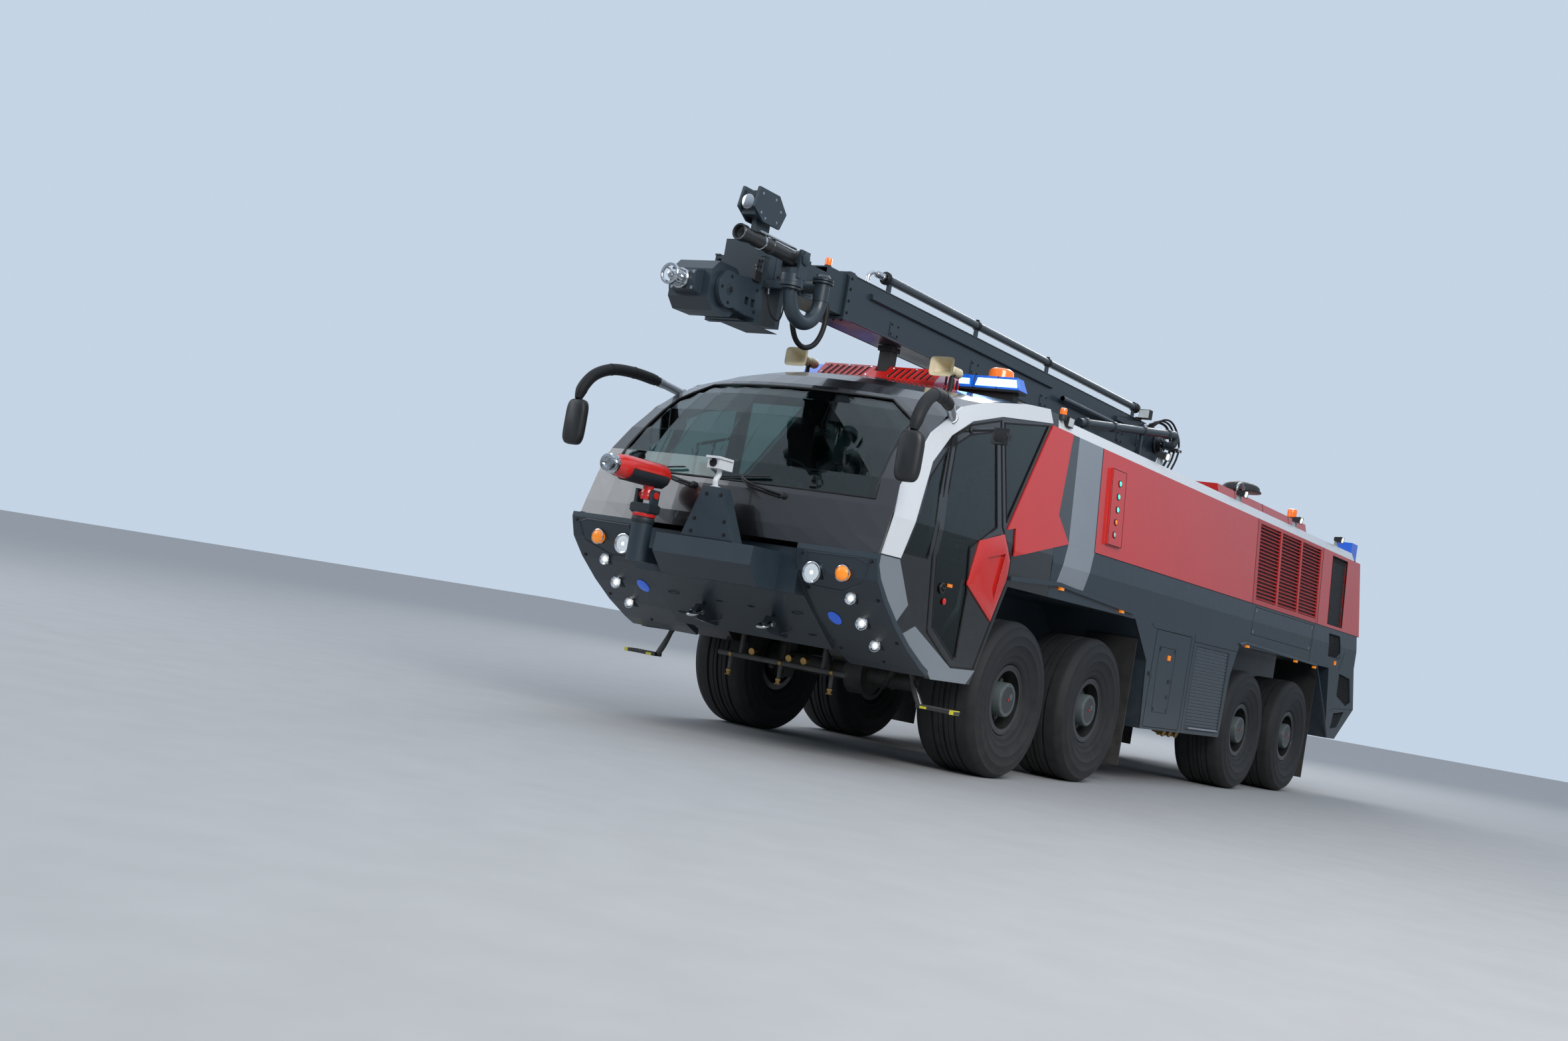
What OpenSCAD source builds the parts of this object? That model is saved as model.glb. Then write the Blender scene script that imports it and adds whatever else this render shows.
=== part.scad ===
// Airport fire truck: 8x8 crash tender with a folding high-reach boom on its roof.
// Millimetres. Forward is -Y, the vehicle's left is +X, up is +Z.
// Lengthwise stations are measured from axle 1 and moved to the middle of the truck at the end.

/* [Chassis] */
// Outer diameter of a tyre
tyre_d = 1370; // [1300:5:1400]
// Width of a tyre
tyre_w = 600; // [560:5:620]
// Distance between the middle planes of a left and a right tyre
track = 2380; // [2340:5:2400]
// Axle 1 to axle 2
bogie_front = 1750; // [1700:10:1800]
// Axle 2 to axle 3
bogie_gap = 4360; // [4300:10:4420]
// Axle 3 to axle 4
bogie_rear = 1770; // [1720:10:1800]
// Outer face of a chassis rail, from the middle
rail_x = 450; // [430:5:460]
// Height of a chassis rail
rail_h = 280; // [240:5:300]
// Thickness of a rail's web and flanges
rail_t = 12; // [8:1:16]
// Height of the rails' top over the ground
rail_top = 1160; // [1140:5:1180]

/* [Body] */
// Half the width of the body's upright lower side
side_x = 1470; // [1440:5:1490]
// Half the width over the fenders and bumper
fender_x = 1500; // [1495:1:1510]
// Height at which the sides start to lean in
shoulder_z = 1950; // [1900:10:2000]
// How far a side leans in for each unit of height
lean = 0.13; // [0.11:0.01:0.15]
// Underside of the body over the wheels
arch_z = 1640; // [1620:5:1660]
// Boundary between the dark lower band and the coloured panels
band_z = 2150; // [2130:5:2170]
// Top of the side panels
panel_top = 3150; // [3130:5:3170]
// Thickness of a side panel
panel_t = 30; // [20:1:40]
// Rear face of the body
rear_y = 10360; // [10300:10:10420]
// Rear face of the rear bumper
bumper_rear_y = 10560; // [10530:5:10600]

/* [Cab] */
// Wall thickness of the cab
wall = 50; // [40:1:60]
// Thickness of the glass
glass_t = 12; // [8:1:16]
// Thickness of a door
door_t = 50; // [40:1:55]
// Rear face of the cab
cab_rear = 380; // [340:5:400]
// Front face of the bumper
bumper_y = -2650; // [-2670:5:-2630]
// Thickness of the bumper's shield
bumper_t = 45; // [40:1:50]

/* [Boom] */
// Middle of the turntable
turn_y = 1400; // [1300:10:1500]
// Height of the lower boom's pivot
lift_z = 3440; // [3420:5:3460]
// Elbow pivot, measured from axle 1
elbow_y = 5250; // [5100:10:5300]
// Height of the elbow pivot
elbow_z = 3800; // [3790:5:3820]
// Width of the upper boom
boom_w = 360; // [340:5:380]
// Height of the upper boom
boom_h = 380; // [360:5:390]
// Wall of the boom sections
boom_t = 12; // [8:1:16]
// Front end of the outer boom section
boom_front = -1670; // [-1700:10:-1640]
// Front of the piercing tool's guard ring
spear_y = -3784; // [-3800:2:-3770]

/* [Hidden] */

// Clearance between curved faces that turn in each other
run = 0.1;
// Small gap between neighbouring panels that don't touch
seam = 6;
// Shift from axle 1 to the middle of the whole length
mid_y = (bumper_rear_y + spear_y) / 2;
axle_y = [0, bogie_front, bogie_front + bogie_gap, bogie_front + bogie_gap + bogie_rear];
axle_z = tyre_d / 2;
wheel_x = track / 2;
rail_bottom = rail_top - rail_h;
$fn = 64;

module placed() translate([0, -mid_y, 0]) children();
module both() {
    children();
    mirror([1, 0, 0]) children();
}
// Extrudes a side view, points [y, z], from x0 to x1
module side_view(pts, x0, x1) translate([x0, 0, 0]) rotate([90, 0, 90])
    linear_extrude(x1 - x0) polygon(pts);
// Extrudes a front view, points [x, z], from y0 to y1
module front_view(pts, y0, y1) translate([0, y1, 0]) rotate([90, 0, 0])
    linear_extrude(y1 - y0) polygon(pts);
module block(x0, x1, y0, y1, z0, z1) translate([x0, y0, z0]) cube([x1 - x0, y1 - y0, z1 - z0]);
// Cylinders along X and along Y
module rod_x(r, x0, x1, y, z) translate([x0, y, z]) rotate([0, 90, 0]) cylinder(r = r, h = x1 - x0);
module rod_y(r, y0, y1, x, z) translate([x, y1, z]) rotate([90, 0, 0]) cylinder(r = r, h = y1 - y0);
// Round bar or tube between two points
module bar(a, b, r, bore = 0) {
    d = b - a;
    len = norm(d);
    translate(a) rotate([0, acos(d.z / len), atan2(d.y, d.x)]) difference() {
        cylinder(r = r, h = len);
        if (bore > 0) translate([0, 0, -1]) cylinder(r = bore, h = len + 2);
    }
}
// Half width of the side at height z, less an inset
function side_at(z, inset = 0) = side_x - lean * max(0, z - shoulder_z) - inset;
// Prism under the leaning sides, inset from them, from z0 to z1
module under_sides(inset, y0, y1, z0, z1) {
    zm = max(z0, min(z1, shoulder_z));
    right = [[side_at(z0, inset), z0], [side_at(zm, inset), zm], [side_at(z1, inset), z1]];
    front_view(concat(right, [for (i = [2 : -1 : 0]) [-right[i].x, right[i].y]]), y0, y1);
}

// Wheels: one profile turned about the axle, half widths from the middle plane
bead_r = 305;
barrel_r = 267;
module tyre() {
    h = tyre_w / 2;
    r = tyre_d / 2;
    t = 32;
    groove = 16;
    // Outer skin, points [radius, across]
    outer = [[barrel_r, h - 86], [bead_r, h - 86], [bead_r + 16, h - 62], [384, h - 38], [480, h - 6],
        [560, h], [r - 48, h - 22], [r - 8, h - 66], [r, h - 90]];
    lands = [[r, 118], [r - groove, 114], [r - groove, 96], [r, 92], [r, 12], [r - groove, 9]];
    inner = [[barrel_r, h - 140], [bead_r + 20, h - 112], [480, h - t - 6], [560, h - t],
        [r - 74, h - 66], [r - groove - t, h - 110]];
    half = concat(outer, lands);
    pts = concat(half, [for (i = [len(half) - 1 : -1 : 0]) [half[i].x, -half[i].y]],
        [for (p = inner) [p.x, -p.y]], [for (i = [len(inner) - 1 : -1 : 0]) inner[i]]);
    color("#1d1e20") rotate([0, 90, 0]) rotate_extrude() polygon(pts);
}
hub_r = 149;
hub_face = 250;
disc_h = 60;
spindle_r = 60;
module wheel() color("#232728") rotate([0, 90, 0]) difference() {
    union() {
        rotate_extrude() polygon([[barrel_r - 12, -228], [bead_r, -228], [bead_r, -214], [barrel_r, -214],
            [barrel_r, 214], [bead_r, 214], [bead_r, 228], [barrel_r - 12, 228]]);
        rotate_extrude() polygon([[spindle_r + run, -150], [115, -150], [115, -20], [180, 20],
            [180, disc_h - 16], [barrel_r - 11, disc_h - 16], [barrel_r - 11, disc_h],
            [hub_r + 26, disc_h], [hub_r + 26, disc_h + 30], [hub_r, disc_h + 34],
            [hub_r, hub_face - 14], [hub_r - 14, hub_face], [0, hub_face], [0, 80],
            [spindle_r + run, 80]]);
    }
    for (a = [0 : 36 : 324]) rotate([0, 0, a]) translate([222, 0, disc_h - 40]) cylinder(r = 20, h = 60);
}
module at_wheel(axle, side) placed() translate([0, axle_y[axle - 1], axle_z])
    mirror([side < 0 ? 1 : 0, 0, 0]) translate([wheel_x, 0, 0]) children();

// Steering knuckles: post in the axle's jaws, with the wheel's spindle
king_x = wheel_x - 260;
king_r = 40;
jaw_z = 130;
jaw_t = 35;
module knuckle() color("#3a3d40") translate([king_x - wheel_x, 0, 0]) {
    cylinder(r = king_r, h = 2 * (jaw_z + jaw_t) + 40, center = true);
    cylinder(r = 66, h = 2 * jaw_z - 6, center = true);
    rod_x(spindle_r, 0, wheel_x - king_x + 70, 0, 0);
    block(-18, 25, 40, 230, -75, -35);
}
// Axle housings with their differential, air bellows and stabilising arms to the frame
bellows_x = 390;
module axle_housing(steered) {
    end_x = king_x - 90;
    difference() {
        union() {
            rod_x(85, -end_x, end_x, 0, 0);
            translate([-40, 0, 0]) rotate([0, 90, 0]) cylinder(r = 190, h = 190, center = true);
            if (steered) both() {
                block(end_x - 10, end_x + 18, -60, 60, -jaw_z - jaw_t, jaw_z + jaw_t);
                for (s = [-1, 1]) translate([0, 0, s * (jaw_z + jaw_t / 2)]) {
                    block(end_x, king_x, -60, 60, -jaw_t / 2, jaw_t / 2);
                    translate([king_x, 0, 0]) cylinder(r = 60, h = jaw_t, center = true);
                }
            }
            else both() {
                rod_x(125, end_x - 10, end_x + 40, 0, 0);
                rod_x(spindle_r, end_x, wheel_x + 70, 0, 0);
            }
        }
        if (steered) both() translate([king_x, 0, 0])
            cylinder(r = king_r + run, h = 500, center = true);
    }
    // Bellows between the axle's seat and the rail
    seat = 80;
    both() {
        block(bellows_x - 60, bellows_x + 60, -70, 70, 60, seat + 20);
        translate([bellows_x, 0, seat + 20]) cylinder(r = 55, h = rail_bottom - axle_z - seat - 20);
    }
}
module axles() color("#34383b") placed() for (i = [0 : 3])
    translate([0, axle_y[i], axle_z]) axle_housing(i < 2);

// Chassis rails: two C sections with cross members, open below
frame_front = -1840;
frame_rear = 10200;
module c_rail() front_view([[rail_x, rail_bottom], [rail_x, rail_top], [rail_x - 90, rail_top],
    [rail_x - 90, rail_top - rail_t], [rail_x - rail_t, rail_top - rail_t],
    [rail_x - rail_t, rail_bottom + rail_t], [rail_x - 90, rail_bottom + rail_t],
    [rail_x - 90, rail_bottom]], frame_front, frame_rear);
spray_r = 24;
spray_y = -1420;
spray_z = 680;
cross_y = [-1780, -1000, 880, 2700, 4400, 9000, 10080];
module frame() color("#2b2e30") placed() {
    both() c_rail();
    for (y = cross_y) rod_x(60, -rail_x + rail_t - 1, rail_x - rail_t + 1, y, rail_top - rail_h / 2);
    // Spray bar with three nozzles, hung from the rails
    rod_x(spray_r, -650, 650, spray_y, spray_z);
    both() block(rail_x - 40, rail_x - 12, spray_y - 15, spray_y + 15, spray_z, rail_bottom + 1);
    for (x = [-520, 0, 520]) translate([x, spray_y, spray_z - 170]) cylinder(r = 16, h = 170);
}
// Engine block, gearbox, transfer case and propeller shafts
engine_y = [6550, 8450];
module driveline() color("#45484a") placed() {
    block(-330, 330, engine_y[0], engine_y[1], rail_bottom + 40, 2150);
    block(-230, 230, 5300, 5850, rail_bottom - 80, rail_top + 260);
    block(-230, 230, 5849, engine_y[0] - 300, rail_bottom + 40, rail_top + 260);
    rod_y(120, engine_y[0] - 301, engine_y[0] + 1, 0, rail_bottom + 170);
    block(-240, 240, 3050, 3700, rail_bottom - 180, rail_top + 100);
    rod_y(45, 3699, 5301, 60, rail_bottom - 20);
    // Propeller shafts to axles 2 and 3
    rod_y(45, bogie_front + 190.3, 3051, -60, axle_z + 40);
    rod_y(45, 3699, axle_y[2] - 190.3, -60, axle_z + 40);
    // Feet between the rails' flanges
    for (y = [3150, 3500, 5500, 6700, 8200]) both()
        block(229, rail_x - rail_t, y, y + 120, rail_top - rail_t - 60, rail_top - rail_t);
}

// Cab: horizontal sections, columns [height, front at the middle, front at the side, half width]
cab_sections = [[arch_z, -2660, -2590, side_x], [1760, -2650, -2550, side_x],
    [2010, -2605, -2465, side_at(2010)],
    [2230, -2520, -2380, side_at(2230)], [2450, -2400, -2200, side_at(2450)],
    [2660, -2270, -1975, side_at(2660)], [2840, -2130, -1730, side_at(2840)],
    [2970, -1990, -1480, side_at(2970)], [3070, -1800, -1150, side_at(3070)],
    [3150, -1550, -780, side_at(3150)], [3220, -1200, -330, side_at(3220)],
    [3270, -760, 60, side_at(3270)], [3310, -300, 250, 1120], [3340, 0, 300, 760]];
cab_steps = 12;
// Points of one section, drawn in by t on every side; the roof sections also come down by t
function cab_ring(row, t) = let (
    up = max(0, min(1, (row[0] - 2300) / 700)),
    w = row[3] - t, c = row[1] + t * 1.05, s = min(row[2] + t * 1.05, cab_rear - t - 20))
    concat([for (i = [0 : cab_steps]) let (u = 2 * i / cab_steps - 1)
        [w * u, min(c + (s - c) * u * u, cab_rear - t - 10), row[0] - t * up]],
        [[w, cab_rear - t, row[0] - t * up], [-w, cab_rear - t, row[0] - t * up]]);
module cab_loft(t, top = 0) {
    n = cab_steps + 3;
    rings = [for (row = cab_sections) cab_ring(row, t)];
    m = len(rings);
    polyhedron([for (r = rings) each r], concat([[for (i = [0 : n - 1]) i]],
        [for (k = [0 : m - 2], i = [0 : n - 1]) each let (a = k * n + i, b = k * n + (i + 1) % n)
            [[a, a + n, b], [b, a + n, b + n]]],
        [[for (i = [n - 1 : -1 : 0]) (m - 1) * n + i]]));
}
deck_z = arch_z + 50;
// Side views, points [y, z]: the white rail's lower and upper edges, the door and the panes
rail_low = [[-2281, 1650], [-1930, 2450], [-1640, 2710], [-1290, 2890], [-760, 3030], [240, 3165]];
rail_high = [[-2560, 1650], [-2400, 2190], [-1970, 2670], [-1490, 2970], [-1070, 3090], [-300, 3230],
    [170, 3280]];
door_front = [[-1670, 1142], [-1779, 1733], [-1690, 2300], [-1600, 2700]];
door_hole = concat(door_front, [[-1290, 2862], [-750, 3002], [-630, 2120], [-437, 1880], [-437, 1700],
    [-792, 900], [-1202, 887]]);
front_pane = [[-2210, 1700], [-1930, 2330], [-1660, 2600], [-1750, 2290], [-1839, 1730], [-1860, 1700]];
rear_pane = [[-690, 2990], [180, 3130], [-570, 2170]];
// Side view of the bumper's shield: its front and its inner face
bumper_top = arch_z - 0.3;
shield = [[bumper_y + 5, bumper_top], [bumper_y, 1600], [bumper_y + 15, 1556], [bumper_y + 60, 1440],
    [-2438, 1286], [-2218, 1115], [-1980, 963], [-1726, 836], [-1600, 785]];
shield_in = [[-1600, 840], [-1705, 880], [-1960, 1008], [-2190, 1155], [-2400, 1320],
    [bumper_y + 60 + bumper_t, 1460], [bumper_y + bumper_t, 1560], [bumper_y + bumper_t + 2, bumper_top]];
// Foot wells: lowered boxes beside the chassis, behind the bumper
well_x = rail_x + 60;
well_out = [[-560, arch_z + 1], [-600, 1380], [-960, 960], [-985, 800], [-1440, 790], [-2060, 1270],
    [-2260, 1600], [-2260, arch_z + 1]];
well_in = [[-640, deck_z + 1], [-660, 1410], [-1015, 990], [-1030, 850], [-1400, 850], [-1990, 1300],
    [-2190, 1610], [-2190, deck_z + 1]];
skin_out = concat([[-417, arch_z + 1], [-762, 880], [-820, 774], [-1500, 774], [-1592, 846]],
    [for (i = [1 : len(shield_in) - 1]) shield_in[i] + [8, 8]], [[-2590, arch_z + 1]]);
screen_x = 1290;
step_y = -1370;
module screen_region() front_view([[-screen_x, 2060], [-1180, 2760], [-900, 2930], [900, 2930],
    [1180, 2760], [screen_x, 2060]], -3000, -1200);
module cab_shell() color("#15171a") placed() difference() {
    union() {
        cab_loft(0);
        both() side_view(well_out, well_x, side_x - wall);
        both() side_view(skin_out, side_x - wall, side_x);
        // Boarding steps on bent arms
        both() block(1340, 1690, step_y - 50, step_y + 50, 530, 556);
        both() bar([1360, step_y, 545], [1215, step_y, 810], 20);
        // Pins of the door arms' posts
        both() translate([arm_x, arm_y, deck_z - 1]) cylinder(r = pin_r, h = 29);
    }
    difference() {
        cab_loft(wall);
        block(-2000, 2000, -3000, 1000, 0, deck_z);
        both() translate([arm_x, arm_y, deck_z - 1]) cylinder(r = pin_r, h = 29);
    }
    both() side_view(well_in, well_x + wall, side_x - wall);
    intersection() {
        screen_region();
        cab_loft(-20);
    }
    both() side_view(door_hole, side_x - 330, side_x + 100);
    both() side_view(front_pane, side_x - 330, side_x + 100);
    both() side_view(rear_pane, side_x - 330, side_x + 100);
}
// Windscreen, fixed front side panes and rear quarter panes
glass_in = 6;
module cab_glass() color("#5a7f7a", 0.5) placed() {
    intersection() {
        screen_region();
        difference() {
            cab_loft(glass_in);
            cab_loft(glass_in + glass_t);
        }
    }
    both() intersection() {
        difference() {
            under_sides(glass_in, -3000, cab_rear, 1400, 3400);
            under_sides(glass_in + glass_t, -3001, cab_rear + 1, 1399, 3401);
        }
        union() {
            side_view(front_pane, 0, 2000);
            side_view(rear_pane, 0, 2000);
        }
    }
}
// White roof rail from the bumper's corner over the cab and along the body
trim_t = 14;
rail_rise = 105;
module white_trim() color("#e9ecee") placed() both() {
    intersection() {
        difference() {
            under_sides(-trim_t, -3000, cab_rear, 1400, 3400);
            under_sides(0, -3001, cab_rear + 1, 1399, 3401);
        }
        side_view(concat(rail_low, [for (i = [len(rail_high) - 1 : -1 : 0]) rail_high[i]]), 0, 2000);
    }
    front_view([[side_at(panel_top, 90), panel_top], [side_at(panel_top), panel_top],
        [side_at(panel_top, 50), panel_top + rail_rise], [side_at(panel_top, 100), panel_top + rail_rise]],
        cab_rear + seam, rear_y - 300);
}
// Seats on their pedestals, dashboard, steering column and wheel
seat_x = [-820, 0, 820];
module cab_interior() color("#2f3336") placed() {
    for (x = seat_x) translate([x, x == 0 ? -1300 : -420, deck_z]) {
        block(-130, 130, 100, 380, 0, 161);
        block(-240, 240, 0, 480, 160, 300);
        block(-240, 240, 400, 520, 299, 900);
    }
    side_view([[-2330, deck_z], [-2330, 2000], [-1950, 2100], [-1900, 2020], [-2080, 1900],
        [-2080, deck_z]], -1150, 1150);
    bar([0, -2000, 2000], [0, -1700, 2180], 30);
    translate([0, -1700, 2180]) rotate([-59, 0, 0]) {
        rotate_extrude() translate([210, 0]) circle(r = 16);
        for (a = [90, 210, 330]) rotate([0, 0, a]) block(0, 210, -18, 18, -8, 8);
    }
}

// Doors: outward-swinging doors hung on two-armed brackets that turn on a post in the cab
door_outline = concat(door_front, [[-1290, 2856], [-764, 2992], [-642, 2124], [-448, 1876],
    [-448, 1706], [-800, 910], [-1196, 895]]);
door_pane = [[-1600, 1190], [-1710, 1733], [-1620, 2290], [-1530, 2660], [-1290, 2780], [-830, 2890],
    [-740, 2100], [-1190, 1871], [-1120, 1500], [-1130, 980], [-1180, 960]];
arm_x = 1270;
arm_y = -485;
arm_len = 560;
arm_z = [1760, 1880];
arm_r = 20;
pin_r = 12;
module door_side(side) placed() mirror([side < 0 ? 1 : 0, 0, 0]) children();
module door_skin(inset, t) intersection() {
    difference() {
        under_sides(inset, -3000, 500, 700, 3400);
        under_sides(inset + t, -3001, 501, 699, 3401);
    }
    children();
}
module door(side) color("#15171a") door_side(side) {
    difference() {
        door_skin(0, door_t) side_view(door_outline, 0, 2000);
        side_view(door_pane, 0, 2000);
    }
    // Brackets to the arms' pins
    for (z = arm_z) for (s = [-1, 1])
        block(arm_x - 20, side_x - door_t, arm_y - arm_len - 20, arm_y - arm_len + 20, z + s * 28 - 8, z + s * 28 + 8);
    for (z = arm_z) translate([arm_x, arm_y - arm_len, z - 30]) cylinder(r = pin_r, h = 60);
    // Ramp mirror above the pane
    bar([side_at(2815) - 25, -1290, 2815], [1590, -1230, 2850], 14);
    block(1530, 1680, -1250, -1200, 2730, 2862);
}
module door_glass(side) color("#5a7f7a", 0.5) door_side(side)
    door_skin(glass_in, glass_t) side_view(door_pane, 0, 2000);
module door_cap(side) color("#c8201e") door_side(side) difference() {
    side_view([[-1060, 1950], [-640, 2060], [-470, 1860], [-470, 1706], [-650, 1320], [-1157, 1574]],
        side_x, side_x + cap_t);
    side_view([[-860, 1800], [-560, 1840], [-680, 1480]], side_x + cap_t / 2, side_x + cap_t + 1);
}
cap_t = 28;
module door_arm(side) color("#55595c") door_side(side) {
    difference() {
        translate([arm_x, arm_y, deck_z]) cylinder(r = arm_r, h = arm_z[1] + 40 - deck_z);
        translate([arm_x, arm_y, deck_z - 1]) cylinder(r = pin_r + run, h = 33);
    }
    for (z = arm_z) difference() {
        union() {
            block(arm_x - 15, arm_x + 15, arm_y - arm_len, arm_y, z - 15, z + 15);
            translate([arm_x, arm_y - arm_len, z - 15]) cylinder(r = 20, h = 30);
        }
        translate([arm_x, arm_y - arm_len, z - 20]) cylinder(r = pin_r + run, h = 40);
    }
}

// Bumper: a shield folded back below the lamps, the centre box, its tower and the tow shackles
wing_x = 780;
box_x = [-340, 600];
column_z = 1600;
tow_x = 350;
tow_y = -2230;
tow_z = 990;
tow_r = 24;
// Lamps in the shield, columns [across, height, radius, front, rear]
lamp_sets = [[932, 1430, 75, -2625, -2540], [1206, 1458, 55, -2635, -2560], [1221, 1286, 42, -2470, -2390],
    [1228, 1115, 46, -2262, -2165], [1238, 963, 42, -2026, -1925]];
module lamp_bodies() both() for (l = lamp_sets) rod_y(l[2], l[3], l[4], l[0], l[1]);
module bumper() color("#2e3a41") placed() difference() {
    union() {
        both() side_view(concat(shield, shield_in), wing_x, fender_x);
        side_view([[-2440, 1250], [-1900, 870], [-1870, 910], [-2410, 1290]], -wing_x - 1, wing_x + 1);
        block(-wing_x - 1, wing_x + 1, bumper_y + 60, bumper_y + 60 + bumper_t, 1250, 1600);
        block(-wing_x - 1, wing_x + 1, bumper_y + 60, -2409, 1250, 1290);
        side_view([[bumper_y + 61, 1550], [-2960, 1550], [-2975, 1400], [-2820, 1250], [bumper_y + 61, 1250]],
            box_x[0], box_x[1]);
        front_view([[-140, 1549], [380, 1549], [180, 1960], [0, 1960]], -2920, -2800);
        translate([mon_x, mon_y, 1300]) cylinder(r = 85, h = column_z - 1300);
        translate([mon_x, mon_y, column_z - 1]) cylinder(r = 30, h = 41);
        side_view([[mon_y, 1300], [mon_y, 1420], [bumper_y + 61, 1420], [bumper_y + 61, 1300]],
            mon_x - 70, mon_x + 70);
        // Carriers on the chassis rails, with the tow eyes
        both() side_view([[bumper_y + 100, 1500], [bumper_y + 100, 1330], [-2300, 1200], [-2220, rail_top],
            [-1500, rail_top], [-1500, 1220], [-2300, 1300]], rail_x - 80, rail_x - 20);
        both() side_view([[-2100, 1060], [-1900, 1060], [-1900, 900], [-2000, 900], [tow_y - 20, tow_z - 60],
            [tow_y - 60, tow_z], [tow_y - 20, tow_z + 60]], tow_x - 20, tow_x + 20);
        both() block(tow_x - 20, rail_x - 20, -1960, -1900, 1000, 1290);
    }
    lamp_bodies();
    both() rod_x(tow_r, 0, 1000, tow_y, tow_z);
}
cam_z = 2100;
module lamps() color("#d8dde0") placed() {
    lamp_bodies();
    block(20, 140, -2950, -2760, cam_z, cam_z + 90);
    block(50, 110, -2890, -2840, 1960.3, cam_z + 1);
    // Work lights on the roof rail
    both() for (y = work_y) {
        block(side_at(panel_top, 95), side_at(panel_top, 60), y - 40, y + 40, panel_top + rail_rise, panel_top + rail_rise + 60);
        block(side_at(panel_top, 100), side_at(panel_top, -10), y - 65, y + 65, panel_top + rail_rise + 59, panel_top + rail_rise + 130);
    }
}
work_y = [2990, 5450, 7550, 9380];
mirror_x = 1635;
mirror_y = -2680;
mirror_bend = [1580, -2380, 2860];
module mirrors() color("#2b2d2f") placed() both() {
    difference() {
        bar([side_at(2870) - 20, -1620, 2835], mirror_bend, 45);
        under_sides(-trim_t, -3000, cab_rear, 1400, 3400);
    }
    translate(mirror_bend) sphere(r = 52);
    bar(mirror_bend, [mirror_x, mirror_y + 40, 2560], 45);
    block(mirror_x - 105, mirror_x + 105, mirror_y - 40, mirror_y + 40, 2190, 2580);
}
horn_x = 753;
module roof_signals() color("#1f5fc4") placed() difference() {
    union() {
        both() block(460, 1150, -180, -10, 3345, 3480);
        both() block(520, 1090, -140, -50, 3150, 3346);
        both() bar([horn_x, -680, 3150], [horn_x, -680, 3400], 20);
        both() bar([horn_x, -760, 3400], [horn_x, -560, 3400], 45);
        both() hull() {
            block(horn_x - 50, horn_x + 50, -742, -740, 3350, 3450);
            block(horn_x - 120, horn_x + 120, -890, -870, 3315, 3485);
        }
        // Vent cowl behind the screen's top edge
        difference() {
            side_view([[-745, 3200], [-735, 3285], [-600, 3420], [-330, 3430], [-280, 3250]], -620, 620);
            block(-66, 66, -640, -200, 3000, 3600);
        }
        // Orange beacon
        translate([800, 110, 3200]) cylinder(r = 85, h = 395);
    }
    cab_loft(0);
}

// Front monitor: turning arm on the bumper's column, with the barrel on its bent pipe
mon_x = -530;
mon_y = -2920;
mon_z = 1830;
mon_lift = 170;
module monitor_arm() color("#2e3a41") placed() translate([mon_x, mon_y, 0]) {
    difference() {
        translate([0, 0, column_z + 0.5]) cylinder(r = 85, h = 90);
        translate([0, 0, column_z]) cylinder(r = 30 + run, h = 41);
    }
    block(-90, 90, -60, 60, column_z + 80, column_z + 160);
    for (s = [-1, 1]) difference() {
        block(s * 78 - 12, s * 78 + 12, -45, 45, column_z + 159, mon_z + 42);
        rod_x(30 + run, -200, 200, 0, mon_z);
    }
}
module monitor_barrel() color("#c8201e") placed() translate([mon_x, mon_y, mon_z]) {
    rod_x(30, -92, 92, 0, 0);
    cylinder(r = 42, h = mon_lift);
    sphere(r = 50);
    rod_y(95, -460, 150, 0, mon_lift);
    rod_y(60, -560, -459, 0, mon_lift);
}

// Body: tank and engine housing under coloured side panels, open over the wheels
rear_fender = [[9409, 733], [9829, 733], [10516, 1162], [10258, 1703], [9604, 1921], [9100, arch_z]];
module tank_body() color("#333d43") placed() difference() {
    union() {
        under_sides(panel_t, cab_rear + seam, rear_y, band_z, panel_top);
        under_sides(0, cab_rear + seam, rear_y - 100, arch_z, band_z);
        block(-rail_x, rail_x, -400, rear_y - 200, rail_top, arch_z);
        translate([0, turn_y, panel_top - 1]) cylinder(r = 200, h = 41);
    }
    block(-360, 360, 5200, 8700, rail_top - 1, 2300);
    block(-260, 260, 3000, 3760, rail_top - 1, rail_top + 120);
    both() side_view(rear_fender, fend_in, 2000);
    both() side_view([[9000, 1790], [8960, 2080], [9440, 2080], [9520, 1790]], side_x - 100, 2000);
}
// Red panels with the pillar behind the door and the raised hood over the engine
pillar = [[-560, 2110], [-410, 2140], [-417, 1901], [680, 2150], [440, 2380], [690, panel_top],
    [250, panel_top]];
module side_sheet(inset, t) intersection() {
    difference() {
        under_sides(inset, -600, rear_y, 1500, panel_top);
        under_sides(inset + t, -601, rear_y + 1, 1499, panel_top + 1);
    }
    children();
}
hood_y = [6680, 10300];
module red_panels() color("#c8201e") placed() {
    both() side_sheet(0, panel_t)
        side_view([[1290, band_z], [5850, band_z], [6000, panel_top], [1410, panel_top]], 0, 2000);
    both() side_sheet(0, panel_t) difference() {
        side_view([[8406, band_z], [rear_y, band_z], [rear_y, panel_top], [8646, panel_top]], 0, 2000);
        side_view([[8860, 2200], [9060, 3100], [9740, 3100], [9510, 2200]], -1, 2001);
    }
    // Raised strip that carries the level lamps
    both() side_sheet(-30, 30.5) side_view([[1510, 2265], [1850, 2265], [1930, 3000], [1590, 3000]], 0, 2000);
    both() side_sheet(-trim_t, trim_t) side_view(pillar, 0, 2000);
    front_view([[-620, panel_top], [-500, 3600], [500, 3600], [620, panel_top]], hood_y[0], hood_y[1]);
}
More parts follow.
